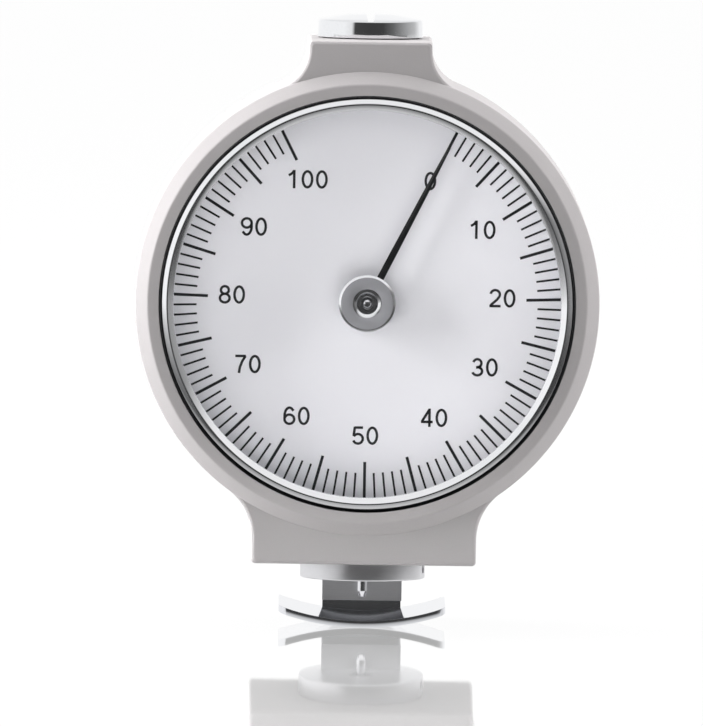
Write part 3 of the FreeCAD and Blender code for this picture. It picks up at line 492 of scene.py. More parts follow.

# %% [markdown]
# ## Bezel and crystal
#
# The bezel is one turned ring with a narrow crest. Its outer slope mirrors what stands on the
# same side, and its inner slope mirrors what stands on the other side, so the ring is white
# outside on the left and white inside on the right. A dark gap parts it from the case; the
# case's wall in that gap is painted near black, as painted shade.

# %% Bezel ring
BEZEL_R, RIM_R, RISE = 25.8, 24.15, 0.3         # edge, inner rim, height over the case
CREST_IN, CREST_HALF, LIP = 0.84, 0.07, 0.66    # the crest's place and half width, the slope's depth
POCKET_R, SKIRT_R = 25.05, 25.9                 # round the glass, and below it
BEZEL_Y = FACE_Y - RISE
GLASS_Y = BEZEL_Y + 1.1
SKIRT_Y, POCKET_Y = DIAL_Y - 2.5, DIAL_Y - 0.4
crest_r = BEZEL_R - CREST_IN
outside = rounded([(BEZEL_R, BEZEL_Y + 1.2), (BEZEL_R, BEZEL_Y + 0.75), (BEZEL_R - 0.18, BEZEL_Y + 0.42),
                   (BEZEL_R - 0.5, BEZEL_Y + 0.2), (crest_r + CREST_HALF, BEZEL_Y + 0.04),
                   (crest_r - CREST_HALF, BEZEL_Y + 0.04), (RIM_R, BEZEL_Y + LIP), (RIM_R, GLASS_Y)],
                  0.1, 4)
inside = [(POCKET_R, GLASS_Y), (POCKET_R, POCKET_Y), (SKIRT_R, POCKET_Y), (SKIRT_R, SKIRT_Y)]
bezel = lathe("bezel", [(BEZEL_R, SKIRT_Y)] + outside + inside, AXIS_DIAL, FINE)
place(bezel, "case_body", bezel_steel, "bezel_steel", "bezel_ring")
print("bezel faces:", len(bezel.data.polygons))

# %% Crystal
GLASS_R, GLASS_THICK = 25.0, 1.2
pane = rounded(plug(GLASS_R, GLASS_Y, GLASS_Y + GLASS_THICK), 0.12)
crystal = lathe("crystal_disc", pane, AXIS_DIAL, 256, closed=False)
place(crystal, "case_body", crystal_glass, "crystal_glass", "crystal")
print("crystal thickness:", GLASS_THICK, "mm")

# %% [markdown]
# ## The dial and its scale
#
# The dial is a thin disc. Its scale is a hundred equal steps, so one small Geometry Nodes
# tree draws all the marks: it lays a line of points, works out each point's angle from its
# index, and puts a thin bar there. Every fifth bar is longer and wider. Only the numbers are
# separate, because they stand upright.

# %% Dial disc
DIAL_R, DIAL_THICK, DIAL_HOLE_R = 24.85, 0.4, 1.6
disc = rounded(plug(DIAL_R, DIAL_Y, DIAL_Y + DIAL_THICK), 0.03, 2)
dial = lathe("dial_disc", disc, AXIS_DIAL, 256, closed=False)
drill(dial, DIAL_HOLE_R, DIAL_Y - 1, DIAL_Y + 1, AXIS_DIAL)
place(dial, "case_body", dial_silver, "dial_silver", "dial_plate")
print("dial radius:", DIAL_R, "mm")


# %% Building and running a Geometry Nodes tree
def node_group(name, inputs):
    """A geometry tree with named inputs. inputs is {name: (socket type, value)}."""
    tree = bpy.data.node_groups.new(name, "GeometryNodeTree")
    for label, (kind, value) in inputs.items():
        item = tree.interface.new_socket(name=label, in_out="INPUT", socket_type=kind)
        if value is not None:
            item.default_value = value
    tree.interface.new_socket(name="Geometry", in_out="OUTPUT", socket_type="NodeSocketGeometry")
    return tree, tree.nodes.new("NodeGroupInput").outputs, tree.nodes.new("NodeGroupOutput").inputs


def vector_node(tree, **parts):
    """A vector from sockets for X, Y and Z. What isn't given is 0."""
    return add_node(tree, "ShaderNodeCombineXYZ", parts).outputs[0]


def set_copies(tree, result, points, piece, turn, size, material):
    """End of a tree: a copy of the piece on every point, made real and given its finish."""
    put = add_node(tree, "GeometryNodeInstanceOnPoints", {
        "Points": points, "Instance": piece, "Rotation": turn, "Scale": size})
    real = add_node(tree, "GeometryNodeRealizeInstances", {"Geometry": put.outputs["Instances"]})
    finish = add_node(tree, "GeometryNodeSetMaterial", {
        "Geometry": real.outputs["Geometry"], "Material": material})
    tree.links.new(finish.outputs["Geometry"], result["Geometry"])


def run_tree(name, tree, values):
    """Evaluate a tree on an empty mesh and keep the result as a plain mesh object."""
    obj = mesh_object(name, [], [])
    step = obj.modifiers.new(tree.name, "NODES")
    step.node_group = tree
    for item in tree.interface.items_tree:
        if item.in_out == "INPUT" and item.name in values:
            step[item.identifier] = values[item.name]
    return apply_steps(obj)


print("tree helpers ready")


# %% The tree that draws the scale
def scale_tree():
    tree, given, result = node_group("dial_scale", {
        "Marks": ("NodeSocketInt", 101), "Every": ("NodeSocketInt", 5),
        "Start": ("NodeSocketFloat", 0.0), "Step": ("NodeSocketFloat", 0.05),
        "Outer": ("NodeSocketFloat", 0.02), "Long": ("NodeSocketFloat", 0.004),
        "Short": ("NodeSocketFloat", 0.003), "Wide": ("NodeSocketFloat", 0.0003),
        "Thin": ("NodeSocketFloat", 0.0002), "Depth": ("NodeSocketFloat", 0.00002),
        "Height": ("NodeSocketFloat", 0.035), "Front": ("NodeSocketFloat", -0.01),
        "Ink": ("NodeSocketMaterial", None)})
    work = partial(math_node, tree)
    index = add_node(tree, "GeometryNodeInputIndex", {}).outputs[0]
    major = work("LESS_THAN", work("MODULO", index, given["Every"]), 0.5)
    angle = work("ADD", given["Start"], work("MULTIPLY", index, given["Step"]))

    def choose(long, short):
        return work("ADD", short, work("MULTIPLY", major, work("SUBTRACT", long, short)))

    length = choose(given["Long"], given["Short"])
    width = choose(given["Wide"], given["Thin"])
    middle = work("SUBTRACT", given["Outer"], work("MULTIPLY", length, 0.5))
    across = work("MULTIPLY", middle, work("SINE", angle))
    height = work("ADD", work("MULTIPLY", middle, work("COSINE", angle)), given["Height"])
    spot = vector_node(tree, X=across, Y=given["Front"], Z=height)
    points = add_node(tree, "GeometryNodePoints", {"Count": given["Marks"], "Position": spot})
    bar = add_node(tree, "GeometryNodeMeshCube", {}).outputs["Mesh"]
    size = vector_node(tree, X=width, Y=given["Depth"], Z=length)
    set_copies(tree, result, points.outputs[0], bar, vector_node(tree, Y=angle), size, given["Ink"])
    return tree


print("scale tree ready")

# %% The marks
OUTER_R, LONG_IN_R, SHORT_IN_R = 24.6, 19.9, 21.3    # where marks begin and end
WIDE, THIN, INK = 0.36, 0.25, 0.02                   # widths, and the thickness of the ink
marks = run_tree("scale_marks", scale_tree(), {
    "Marks": MARKS, "Every": 5, "Start": math.radians(ZERO_DEG), "Step": math.radians(STEP_DEG),
    "Outer": OUTER_R * MM, "Long": (OUTER_R - LONG_IN_R) * MM, "Short": (OUTER_R - SHORT_IN_R) * MM,
    "Wide": WIDE * MM, "Thin": THIN * MM, "Depth": INK * MM, "Height": DIAL_Z * MM,
    "Front": (DIAL_Y - INK / 2) * MM, "Ink": print_black})
place(marks, "case_body", print_black, "dial_silver")
print("marks:", len(marks.data.polygons) // 6)

# %% [markdown]
# Each digit is a few strokes, and a stroke is a line of points that gets a width. Blender's
# own letters could be made a mesh too, but these slim round ones have other forms, and
# strokes keep one weight at any size.


# %% Strokes of the ten digits
def bow(cx, cz, rx, rz, start, end, steps=20):
    """Points along part of an ellipse, angles in degrees from the right, counter-clockwise."""
    turns = [math.radians(start + (end - start) * i / steps) for i in range(steps + 1)]
    return [(cx + rx * math.cos(a), cz + rz * math.sin(a)) for a in turns]


LINE = 0.14              # width of a stroke, for a digit of height 1
BOWL = 0.262             # half width of a round digit
LOW, HIGH = LINE / 2, 1 - LINE / 2
six = [(0.22, 0.77)] + bow(0.0, 0.5, BOWL, 0.44, 62, 180) + bow(0.0, 0.31, BOWL, 0.25, 180, 540, 36)
digits = {
    "0": [bow(0.0, 0.5, 0.252, 0.432, 0, 360, 48)],
    "1": [[(0.06, 0), (0.06, 1.0)],
          [(0.04, 0.95), (-0.04, 0.83), (-0.15, 0.75), (-0.24, 0.71)]],
    "2": [bow(0.0, 0.70, 0.25, 0.24, 172, -30) + [(0.10, 0.42), (-0.20, 0.16), (-0.26, LOW)],
          [(-0.31, LOW), (0.30, LOW)]],
    "3": [bow(-0.01, 0.715, 0.22, 0.223, 165, -90) + [(-0.08, 0.492)],
          bow(-0.01, 0.285, BOWL, 0.223, 92, -165, 28)],
    "4": [[(0.13, 0), (0.13, 1.0)],
          [(0.13, 0.95), (-0.28, 0.29)],
          [(-0.33, 0.27), (0.31, 0.27)]],
    "5": [[(0.27, HIGH), (-0.17, HIGH)],
          [(-0.17, 0.98), (-0.235, 0.47)],
          bow(0.0, 0.32, BOWL, 0.26, 150, -160, 30)],
    "6": [six],
    "7": [[(-0.29, HIGH), (0.29, HIGH)],
          [(0.27, 0.93), (0.10, 0.66), (-0.03, 0.32), (-0.08, 0)]],
    "8": [bow(0.0, 0.735, 0.215, 0.205, 0, 360, 36),
          bow(0.0, 0.295, BOWL, 0.235, 0, 360, 40)],
    "9": [[(-x, 1 - z) for x, z in six]],
}


def ribbon(points):
    """Corner points of a flat band along a line, as pairs left and right of it."""
    pairs = []
    for i, (x, z) in enumerate(points):
        ax, az = points[max(0, i - 1)]
        bx, bz = points[min(len(points) - 1, i + 1)]
        length = math.hypot(bx - ax, bz - az)
        nx, nz = -(bz - az) / length * LINE / 2, (bx - ax) / length * LINE / 2
        pairs.append(((x + nx, z + nz), (x - nx, z - nz)))
    return pairs


print("digits:", len(digits))

# %% Upright numbers
NUMBER_R, NUMBER_HIGH = 16.9, 2.3    # radius of their centres, height of a digit
ADVANCE, LIFT = 0.78, 0.3            # from digit to digit, and how far all stand above centre
values = range(0, MARKS, 10)
points, faces = [], []
for value in values:
    word = str(value)
    a = math.radians(ZERO_DEG + value * STEP_DEG)
    middle_x = NUMBER_R * math.sin(a)
    middle_z = DIAL_Z + NUMBER_R * math.cos(a) + LIFT
    for rank, letter in enumerate(word):
        shift = (rank - (len(word) - 1) / 2) * ADVANCE
        for line in digits[letter]:
            first = len(points)
            for x, z in (corner for pair in ribbon(line) for corner in pair):
                points.append((middle_x + (x + shift) * NUMBER_HIGH, DIAL_Y - 0.012,
                               middle_z + (z - 0.5) * NUMBER_HIGH))
            for k in range(first, len(points) - 2, 2):
                faces.append((k, k + 1, k + 3, k + 2))
numbers = mesh_object("scale_numbers", points, faces)
place(numbers, "case_body", print_black, "dial_silver")
print("numbers:", len(values), "faces:", len(numbers.data.polygons))

# %% [markdown]
# ## Pointer and hub
#
# The pointer is a thin blade that tapers from the hub to a fine tip. Its front rises to a
# shallow ridge, so it shows a light line where the ridge catches the softbox. It is lofted
# along the direction of the 0 mark, and blade, hub and pin ride on the pointer's body.

# %% Pointer blade
POINTER_Y, POINTER_HALF, TIP_R = -11.1, 0.1, 22.5     # middle, half thickness, reach
RING_IN_R, RING_OUT_R = 1.39, 2.9                     # the blade's ring under the hub
BLADE = [(1.7, 0.52, 0.1), (2.6, 0.44, 0.1), (7.5, 0.42, 0.1), (12.4, 0.36, 0.1), (15.5, 0.33, 0.1),
         (20.0, 0.23, 0.1), (21.9, 0.19, 0.1), (TIP_R, 0.12, 0.06)]     # reach, half width, ridge
sin_zero, cos_zero = math.sin(math.radians(ZERO_DEG)), math.cos(math.radians(ZERO_DEG))
sections = []
for reach, half, ridge in BLADE:
    section = ((-half, 0.02), (0, -ridge), (half, 0.02), (half, POINTER_HALF), (-half, POINTER_HALF))
    sections.append([(x * cos_zero + reach * sin_zero, POINTER_Y + y,
                      DIAL_Z - x * sin_zero + reach * cos_zero) for x, y in section])
blade = loft("pointer_blade", sections, 20)
POINTER_LOW, POINTER_BACK = POINTER_Y - POINTER_HALF, POINTER_Y + POINTER_HALF
ring = [(RING_IN_R, POINTER_LOW), (RING_OUT_R, POINTER_LOW), (RING_OUT_R, POINTER_BACK),
        (RING_IN_R, POINTER_BACK)]
cut(blade, lathe("pointer_disc", ring, AXIS_DIAL, 96), "UNION")
place(blade, "pointer_body", pointer_black, "pointer_black", "pointer")
print("pointer tip radius:", TIP_R)

# %% Hub
HUB_R, HUB_Y, BEVEL, HUB_TAIL = 3.57, -12.35, 0.33, POINTER_Y + 0.7
RECESS_R, GROOVE_R, GROOVE_IN_R, PIN_R = 1.8, 1.2, 0.85, 0.69
boss = rounded([(RECESS_R, HUB_Y), (HUB_R - BEVEL, HUB_Y), (HUB_R, HUB_Y + 0.2), (HUB_R, POINTER_LOW),
                (RING_IN_R, POINTER_LOW), (RING_IN_R, HUB_TAIL), (PIN_R, HUB_TAIL),
                (PIN_R, HUB_Y + 0.2), (GROOVE_IN_R, HUB_Y + 0.2), (GROOVE_IN_R, HUB_Y + 0.95),
                (GROOVE_R, HUB_Y + 0.95), (GROOVE_R, HUB_Y + 0.6), (1.34, HUB_Y + 0.27),
                (RECESS_R, HUB_Y)], 0.04, 2)
hub = lathe("pointer_boss", boss, AXIS_DIAL, 160)
place(hub, "pointer_body", hub_steel, "hub_steel", "pointer_hub")
hub.data.materials.append(bezel_steel)
for face in hub.data.polygons:
    face.material_index = 0 if RECESS_R < reach_from_dial(face) < HUB_R - 0.31 else 1
print("hub radius:", HUB_R)

# %% The pin in the hub
PIN_STEP_Y, PIN_END_Y, PIN_THIN_R = -9.6, -2.9, 0.6
pin_r = PIN_R - 0.02
pin = rounded([(0, HUB_Y + 0.25), (0.2, HUB_Y + 0.26), (0.45, HUB_Y + 0.36), (pin_r, HUB_Y + 0.6),
               (pin_r, PIN_STEP_Y), (PIN_THIN_R, PIN_STEP_Y), (PIN_THIN_R, PIN_END_Y),
               (0, PIN_END_Y)], 0.05, 3)
pin = lathe("centre_pin", pin, AXIS_DIAL, 96, closed=False)
place(pin, "pointer_body", pin_steel, "spindle_steel", "centre_arbor")
print("pin radius:", round(pin_r, 2))

# %% [markdown]
# ## Cap
#
# The cap is a chromed screw with a shallow crown and one slot from front to back. It is
# turned first, then slotted, then its new edges are broken with a small bevel.

# %% Chromed cap
CAP_R, CAP_LOW, CAP_HIGH, CROWN = 6.6, 68.02, 2.2, 0.8
STEM_R, STEM_LOW = 3.95, 66.42
wall_r, brow_r = CAP_R - 0.04, CAP_R - 0.09     # the wall leans in a little, as a turned one does
lower = rounded([(0, STEM_LOW), (STEM_R, STEM_LOW), (STEM_R, CAP_LOW), (CAP_R, CAP_LOW),
                 (wall_r, CAP_LOW + 1)], 0.1, 3)
upper = rounded([(wall_r, CAP_LOW + 1), (brow_r, CAP_LOW + CAP_HIGH), (CAP_R - 1.2, CAP_LOW + 2.42),
                 (CAP_R * 0.45, CAP_LOW + 2.84), (0, CAP_LOW + CAP_HIGH + CROWN)], 0.3, 5)
cap = lathe("cap", lower + upper[1:], AXIS_Z, 256, closed=False)
SLOT_WIDE, SLOT_NARROW, SLOT_LOW = 0.8, 0.35, CAP_LOW + 2.1      # half widths above and at its floor
over = CAP_LOW + 3.9
section = ((-SLOT_WIDE, over), (SLOT_WIDE, over), (SLOT_NARROW, SLOT_LOW), (-SLOT_NARROW, SLOT_LOW))
cut(cap, loft("slot", [[(x, y, z) for x, z in section] for y in (-8, 8)]))
place(bevelled(cap, 0.06), "case_body", cap_chrome, "cap_chrome", "top_cap")
print("cap faces:", len(cap.data.polygons))

# %% [markdown]
# ## Presser foot, indenter and guard strip
#
# The foot is turned satin steel with a small cross hole in its rim, and a block at its back
# that the guard strip is screwed to. The strip is bent from polished sheet: an upright web,
# and a long leg curved like a rocker. The indenter is a fine rod with a blunt cone.

# %% Presser foot
FOOT_R, FOOT_HIGH = 7.85, 2.5
GUIDE_R, SHELF_R, SHELF_Z, POCKET_LOW = 1.5, 2.15, 2.0, 2.9      # bore, bush seat, pocket above it
SPIGOT_R, SPIGOT_IN_R, SPIGOT_TOP = 5.5, 3.3, 10.7
BAR_HOLE_R, BAR_HOLE_IN, BAR_HOLE_DEG = 0.55, 6.2, -14
LUG_HALF, LUG_FRONT, LUG_BACK, LUG_LOW = 5.0, 2.8, 8.15, -3.2    # block that carries the strip
TAP_R, TAP_Y = 0.83, 4.45                                        # its two screw holes
body = rounded([(GUIDE_R, SHELF_Z), (GUIDE_R, 0), (FOOT_R, 0), (FOOT_R, FOOT_HIGH),
                (SPIGOT_R, FOOT_HIGH), (SPIGOT_R, SPIGOT_TOP), (SPIGOT_IN_R, SPIGOT_TOP),
                (SPIGOT_IN_R, POCKET_LOW), (SHELF_R, POCKET_LOW), (SHELF_R, SHELF_Z),
                (GUIDE_R, SHELF_Z)], 0.18, 4)
foot = lathe("foot_disc", body, AXIS_Z, 256)
cut(foot, block("lug", -LUG_HALF, LUG_HALF, LUG_FRONT, LUG_BACK, LUG_LOW, 0.3), "UNION")
for degrees in (BAR_HOLE_DEG, BAR_HOLE_DEG + 180):
    a = math.radians(degrees)
    out = Vector((math.cos(a), math.sin(a), 0))
    up = Vector((0, 0, 1))
    drill(foot, BAR_HOLE_R, BAR_HOLE_IN, 9, (up * FOOT_HIGH / 2, up, out.cross(up), out), 48)
for side in (-1, 1):
    drill(foot, TAP_R, TAP_Y, 9, axis_y_at(side * STRIP_SCREW_X, STRIP_SCREW_Z))
place(bevelled(foot, 0.05, 2), "case_body", satin_steel, "satin_steel", "presser_foot")
print("foot faces:", len(foot.data.polygons))

# %% Indenter
ROD_R, TIP_FLAT_R, ROD_LOW, CONE_TOP, ROD_TOP = 0.625, 0.395, -2.5, -1.771, 9.0
rod = rounded([(0, ROD_LOW), (TIP_FLAT_R, ROD_LOW), (ROD_R, CONE_TOP), (ROD_R, ROD_TOP), (0, ROD_TOP)],
              0.03, 2)
rod = lathe("indenter_rod", rod, AXIS_Z, 64, closed=False)
place(rod, "spindle_body", pin_steel, "hard_steel", "indenter")
print("indenter stands out", -ROD_LOW, "mm")

# %% Guard strip
THICK, LOW_Z, BEND_R, FRONT_Y, REAR_Y = 0.85, -6.27, 32.0, -2.2, 9.0
TILT, LONG, WEB, CORNER_R, HOLE_R = math.radians(3.0), 21.0, 4.95, 1.4, 0.9
ACROSS, DEEP = 60, 24                # faces along and across the strip
points, faces = [], []
for layer in (0, THICK):
    for i in range(ACROSS + 1):
        u = LONG * (i / ACROSS - 0.5)
        past = max(0.0, abs(u) - (LONG / 2 - CORNER_R))
        lead = CORNER_R - math.sqrt(max(0.0, CORNER_R ** 2 - past ** 2))
        for k in range(DEEP + 1):
            depth = lead + (REAR_Y - FRONT_Y - lead) * k / DEEP
            height = BEND_R - math.sqrt((BEND_R - layer) ** 2 - u * u)
            points.append((u, FRONT_Y + depth * math.cos(TILT) - height * math.sin(TILT),
                           LOW_Z + depth * math.sin(TILT) + height * math.cos(TILT)))
row, half = DEEP + 1, (ACROSS + 1) * (DEEP + 1)
for a in (i * row + k for i in range(ACROSS) for k in range(DEEP)):
    faces += [(a, a + 1, a + row + 1, a + row),
              (half + a, half + a + row, half + a + row + 1, half + a + 1)]
for a in (i * row + k for i in range(ACROSS) for k in (0, DEEP)):
    faces.append((a, a + row, half + a + row, half + a))
for a in (first + k for first in (0, ACROSS * row) for k in range(DEEP)):
    faces.append((a, half + a, half + a + 1, a + 1))
strip = tidy(mesh_object("guard_strip", points, faces))
cut(strip, block("web", -WEB, WEB, REAR_Y - THICK, REAR_Y - 0.02, -5.2, -0.2), "UNION")
for side in (-1, 1):
    drill(strip, HOLE_R, 7, 10, axis_y_at(side * STRIP_SCREW_X, STRIP_SCREW_Z))
place(bevelled(strip, 0.1, 3), "case_body", mirror_steel, "mirror_steel", "foot_stirrup")
print("strip faces:", len(strip.data.polygons))

# %% [markdown]
# ## Rear cover and screws
#
# The back isn't in the photograph. Testers of this kind have a flat round cover there, held
# by countersunk screws, and it wears the same paint. The screws are one lathe piece with a
# slot, and a small Geometry Nodes tree sets copies of it round the cover.

# %% Rear cover
COVER_Y0, COVER_Y1, COVER_R = 8.2, 10.0, 26.9
SCREW_RING, SCREW_COUNT, SCREW_START = 25.5, 4, math.radians(45)
plate = rounded([(0, COVER_Y0), (COVER_R, COVER_Y0), (COVER_R, COVER_Y1 - 0.4),
                 (COVER_R - 0.4, COVER_Y1), (0, COVER_Y1)], 0.08, 3)
cover = lathe("cover_disc", plate, AXIS_DIAL, 320, closed=False)
SHANK_R, HEAD_R, SINK_R = 0.8, 1.6, 1.75
sink = [(0, 8), (HOLE_R, 8), (HOLE_R, COVER_Y1 - 0.8), (SINK_R, COVER_Y1 + 0.05), (SINK_R, 11), (0, 11)]
for i in range(SCREW_COUNT):
    a = SCREW_START + 2 * math.pi * i / SCREW_COUNT
    axis = axis_y_at(SCREW_RING * math.cos(a), DIAL_Z + SCREW_RING * math.sin(a))
    cut(cover, lathe("sink", sink, axis, 64))
place(cover, "case_body", paint, "case_paint", "rear_cover")
print("cover faces:", len(cover.data.polygons))


# %% Screws set round a circle
def ring_of_pieces():
    tree, given, result = node_group("ring_of_pieces", {
        "Piece": ("NodeSocketObject", None), "Count": ("NodeSocketInt", 4),
        "Radius": ("NodeSocketFloat", 0.02), "Start": ("NodeSocketFloat", 0.0),
        "Turn": ("NodeSocketFloat", 0.0), "Centre": ("NodeSocketVector", None),
        "Finish": ("NodeSocketMaterial", None)})
    work = partial(math_node, tree)
    index = add_node(tree, "GeometryNodeInputIndex", {}).outputs[0]
    share = work("DIVIDE", index, given["Count"])
    angle = work("ADD", given["Start"], work("MULTIPLY", share, 2 * math.pi))
    across = work("MULTIPLY", given["Radius"], work("COSINE", angle))
    height = work("MULTIPLY", given["Radius"], work("SINE", angle))
    spot = vector_node(tree, X=across, Z=height)
    spot = add_node(tree, "ShaderNodeVectorMath", {0: spot, 1: given["Centre"]}).outputs[0]
    points = add_node(tree, "GeometryNodePoints", {"Count": given["Count"], "Position": spot})
    source = add_node(tree, "GeometryNodeObjectInfo", {"Object": given["Piece"]})
    turn = vector_node(tree, Y=work("MULTIPLY", index, given["Turn"]))
    set_copies(tree, result, points.outputs[0], source.outputs["Geometry"], turn, None, given["Finish"])
    return tree


def screw_set(name, profile, slot_y, slot_half, values):
    """Turn one screw, cut its slot, and set copies of it round a circle."""
    screw = lathe("screw_pattern", profile, axis_y_at(0, 0), 64, closed=False)
    cut(screw, block("slot", -2, 2, slot_y, slot_y + 1.5, -slot_half, slot_half))
    screw.data.materials.append(screw_steel)
    screws = run_tree(name, ring_tree, {"Piece": screw, "Finish": screw_steel, **values})
    bpy.data.objects.remove(screw)
    return tidy(screws)


ring_tree = ring_of_pieces()
print("screw helpers ready")

# %% Screws of the cover
head_y, slot_deep = COVER_Y1 - 0.05, 0.4
profile = rounded([(0, 5.0), (SHANK_R, 5.0), (SHANK_R, head_y - 0.8), (HEAD_R, head_y), (0, head_y)],
                  0.05, 2)
screws = screw_set("cover_screw_set", profile, head_y - slot_deep, 0.2, {
    "Count": SCREW_COUNT, "Radius": SCREW_RING * MM, "Start": SCREW_START, "Turn": math.radians(37),
    "Centre": (0, 0, DIAL_Z * MM)})
place(screws, "case_body", screw_steel, "screw_steel", "cover_screws")
print("cover screws:", SCREW_COUNT, "faces:", len(screws.data.polygons))

# %% Screws of the guard strip
head_r, head_y, slot_deep = 1.3, REAR_Y + 0.7, 0.28
profile = rounded([(0, TAP_Y + 0.1), (SHANK_R, TAP_Y + 0.1), (SHANK_R, REAR_Y), (head_r, REAR_Y),
                   (head_r, head_y), (0, head_y)], 0.08, 3)
screws = screw_set("strip_screw_set", profile, head_y - slot_deep, 0.15, {
    "Count": 2, "Radius": STRIP_SCREW_X * MM, "Start": 0.0, "Turn": math.radians(25),
    "Centre": (0, 0, STRIP_SCREW_Z * MM)})
place(screws, "case_body", screw_steel, "screw_steel", "stirrup_screws")
print("strip screws: 2, faces:", len(screws.data.polygons))

# %% [markdown]
# ## The works inside
#
# The movement, springs and guides are seen only when the case is open, and their solids are
# already right, so they keep their meshes and get the metals that they are made of.

# %% Finishes of the hidden pieces
finishes = {
    paint: ["case", "rear_cover"],
    bezel_steel: ["bezel_ring"],
    cap_chrome: ["top_cap"],
    satin_steel: ["presser_foot"],
    mirror_steel: ["foot_stirrup"],
    pin_steel: ["indenter", "guide_pin"],
    hub_steel: ["pointer_hub"],
    pointer_black: ["pointer"],
    dial_silver: ["dial_plate"],
    crystal_glass: ["crystal"],
    rubber: ["cover_gasket", "crystal_seal", "cap_washer"],
    grey_metal: ["spacer_ring"],
    brass: ["front_plate", "pillars", "rear_bridge", "hairspring_stud", "guide_fork", "spring_adjuster",
            "adjuster_locknut", "spring_seat", "drive_wheel", "wheel_hub", "hairspring_collet"],
    bronze: ["centre_bush_front", "centre_bush_rear", "gear_bush_front", "gear_bush_rear",
             "lower_guide_bush"],
    ground_steel: ["spindle", "gear_arbor", "rack_pinion", "centre_arbor", "centre_pinion"],
    spring_steel: ["bezel_snap_ring", "hairspring", "main_spring"],
    screw_steel: ["cover_screws", "plate_screws", "bridge_screws", "fork_screws", "stirrup_screws"],
}
dressed = 0
for material, names in finishes.items():
    for name in names:
        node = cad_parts[name]
        node.data.materials.clear()
        node.data.materials.append(material)
        dressed += 1
print("solids with a finish:", dressed, "of", len(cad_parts))

# %% [markdown]
# ## Floor and light
#
# The tester stands on its guard strip on a glossy white table and leans back about three
# degrees, so in the tester's own frame the floor is tilted. The floor is white to the eye,
# keeps a soft shadow, and mirrors the tester faintly. The light is a bright tent: strong from
# the left, softer from the right and from above, and darker on the camera's side, which is
# what gives polished steel its dark bands.

# %% Floor
LEAN = math.radians(3.0)
FADE_Y, FADE_DARK = (-0.035, -0.008), 0.015     # in mirrors the floor darkens towards the camera
along = Vector((0, math.cos(LEAN), math.sin(LEAN)))
touch = Vector((0, FRONT_Y, LOW_Z - 0.01))
corners = [touch + Vector((x, 0, 0)) + along * d
           for x, d in ((-4000, -3000), (4000, -3000), (4000, 6000), (-4000, 6000))]
floor = mesh_object("floor", corners, [(0, 1, 2, 3)])
material, tree, shader = start_material("floor_white", Base_Color=(0.6, 0.6, 0.6, 1), Roughness=0.6)
rays = add_node(tree, "ShaderNodeLightPath", {}).outputs
split = add_node(tree, "ShaderNodeSeparateXYZ", {0: object_place(tree)})
fade = map_range(tree, split.outputs["Y"], FADE_Y, (FADE_DARK, 1.0))
power = math_node(tree, "MAXIMUM", fade, rays["Is Camera Ray"])
glow = add_node(tree, "ShaderNodeEmission", {"Strength": power})
seen = math_node(tree, "MULTIPLY", rays["Is Camera Ray"], 0.9)
share = math_node(tree, "MAXIMUM", rays["Is Glossy Ray"], seen)
white = mix_shaders(tree, share, shader.outputs["BSDF"], glow.outputs["Emission"])
gloss = add_node(tree, "ShaderNodeBsdfGlossy", {"Color": (1, 1, 1, 1), "Roughness": 0.04})
edge = add_node(tree, "ShaderNodeFresnel", {"IOR": 1.45})
polish = math_node(tree, "MULTIPLY", edge.outputs["Fac"], 1.3, clamp=True)
top = mix_shaders(tree, polish, white, gloss.outputs["BSDF"])
tree.links.new(top, tree.nodes["Material Output"].inputs["Surface"])
floor.data.materials.append(material)
print("floor tilted by", round(math.degrees(LEAN), 1), "degrees")

# %% World light
world = bpy.data.worlds.new("studio")
bpy.context.scene.world = world
world.use_nodes = True
tree = world.node_tree
tree.nodes.clear()
direction = add_node(tree, "ShaderNodeTexCoord", {}).outputs["Generated"]
axes = add_node(tree, "ShaderNodeSeparateXYZ", {0: direction}).outputs


def lobe(axis, sign, power, amount):
    """Light that grows towards one direction."""
    facing = math_node(tree, "MULTIPLY", axes[axis], sign, clamp=True)
    return math_node(tree, "MULTIPLY", math_node(tree, "POWER", facing, power), amount)


light = math_node(tree, "ADD", lobe("X", -1.0, 1.5, 0.30), 0.05)
for more in (lobe("X", 1.0, 1.5, 0.20), lobe("Y", 1.0, 1.0, 0.35)):
    light = math_node(tree, "ADD", light, more)
tent = add_node(tree, "ShaderNodeBackground", {"Strength": light}).outputs[0]
print("soft light from the left, the right and behind")

# %% What polished metal sees, by compass direction from the camera's side
STOPS = [(-180, 1.0), (-60, 1.0), (-42, 0.85), (-35, 0.06), (0, 0.05), (28, 0.055), (52, 0.14),
         (90, 0.40), (115, 0.55), (138, 0.95), (180, 1.0)]     # degrees to the right, brightness
forward = math_node(tree, "MULTIPLY", axes["Y"], -1.0)
compass = math_node(tree, "ARCTAN2", axes["X"], forward)
compass = map_range(tree, compass, (-math.pi, math.pi))
panels = add_node(tree, "ShaderNodeValToRGB", {"Fac": compass})
ramp = panels.color_ramp
while len(ramp.elements) < len(STOPS):
    ramp.elements.new(0.5)
for element, (degrees, value) in zip(ramp.elements, STOPS):
    element.position = (degrees + 180) / 360
    element.color = (value, value, value, 1)
above = map_range(tree, axes["Z"], (0.35, 0.6))
view = mix_colours(tree, above, panels.outputs["Color"], (0.9, 0.9, 0.9, 1))
mirrored = add_node(tree, "ShaderNodeBackground", {"Color": view}).outputs[0]
print("panels in the tent:", len(ramp.elements))

# %% One world for each kind of ray
plain = add_node(tree, "ShaderNodeBackground", {}).outputs[0]
rays = add_node(tree, "ShaderNodeLightPath", {}).outputs
lit = mix_shaders(tree, rays["Is Glossy Ray"], tent, mirrored)
seen = math_node(tree, "ADD", rays["Is Camera Ray"], rays["Is Transmission Ray"])
add_node(tree, "ShaderNodeOutputWorld", {"Surface": mix_shaders(tree, seen, lit, plain)})
print("world light ready")


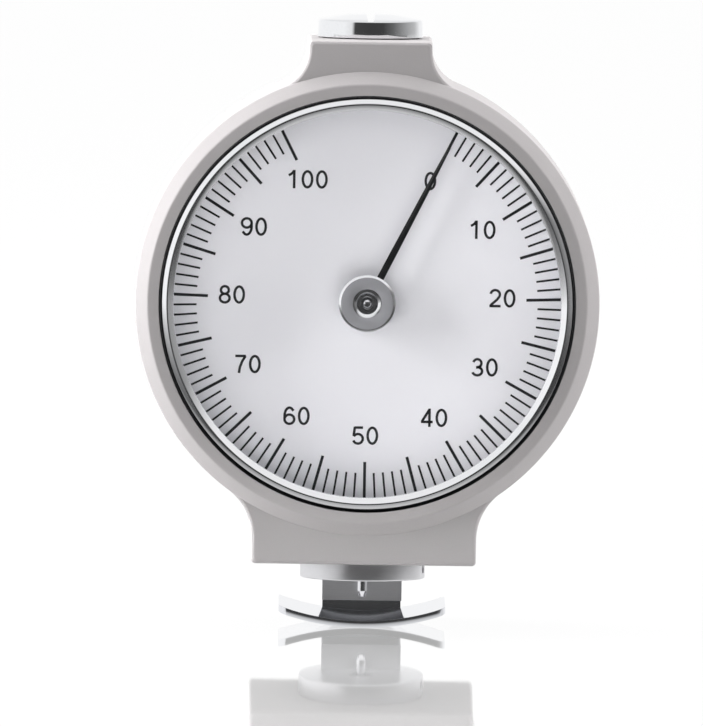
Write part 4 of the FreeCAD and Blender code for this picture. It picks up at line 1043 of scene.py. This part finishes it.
# %% Softboxes
def softbox(name, spot, aim, size, watts, spread_deg=180):
    """A rectangular lamp. spot, aim and size are in metres."""
    lamp = bpy.data.lights.new(name, "AREA")
    lamp.spread = math.radians(spread_deg)
    lamp.shape = "RECTANGLE"
    lamp.size, lamp.size_y = size
    lamp.energy = watts
    obj = bpy.data.objects.new(name, lamp)
    obj.location = spot
    obj.rotation_euler = (Vector(aim) - Vector(spot)).to_track_quat("-Z", "Y").to_euler()
    obj.visible_glossy = False
    obj.visible_camera = False
    bpy.context.scene.collection.objects.link(obj)


softbox("key_left", (-0.75, -0.01, 0.2), (0, 0, 0.035), (0.5, 0.6), 30.0)
softbox("fill_right", (0.8, -0.01, 0.15), (0, 0, 0.035), (0.4, 0.5), 15.5)
softbox("top_light", (0.0, 0.02, 0.7), (0, 0, 0.035), (0.6, 0.4), 8.5)
softbox("front_high", (-0.055, -0.13, 0.095), (0, 0, 0.05), (0.14, 0.10), 0.043)
softbox("foot_light", (-0.01, -0.12, -0.004), (0, -0.0135, 0.001), (0.05, 0.02), 0.0019, 20)
print("lamps:", len(bpy.data.lights))

# %% [markdown]
# ## Camera
#
# The photograph was taken from the front with a long lens, a little above the dial, and the
# tester stands a degree out of true in it. The camera therefore stands far away and is rolled
# by that degree.

# %% Camera
AZIMUTH, ELEVATION, ROLL = (math.radians(v) for v in (-0.4, 3.4, 0.85))
DISTANCE, LENS = 1.6, 630.5
TARGET = Vector((-0.00176, 0, 0.02695))
level = math.cos(ELEVATION)
back = Vector((math.sin(AZIMUTH) * level, -math.cos(AZIMUTH) * level, math.sin(ELEVATION)))
right = Vector((0, 0, 1)).cross(back).normalized()
up = back.cross(right)
side = right * math.cos(ROLL) + up * math.sin(ROLL)
top_way = up * math.cos(ROLL) - right * math.sin(ROLL)
turn = Matrix((side, top_way, back)).transposed().to_4x4()
camera = bpy.data.objects.new("camera", bpy.data.cameras.new("camera"))
camera.data.lens = LENS
camera.data.clip_end = 50.0
camera.matrix_world = Matrix.Translation(TARGET + back * DISTANCE) @ turn
bpy.context.scene.collection.objects.link(camera)
bpy.context.scene.camera = camera
bpy.context.scene.view_settings.view_transform = "Standard"
print("camera", DISTANCE, "m away, lens", camera.data.lens)

# %% Finish
print("scene ready")
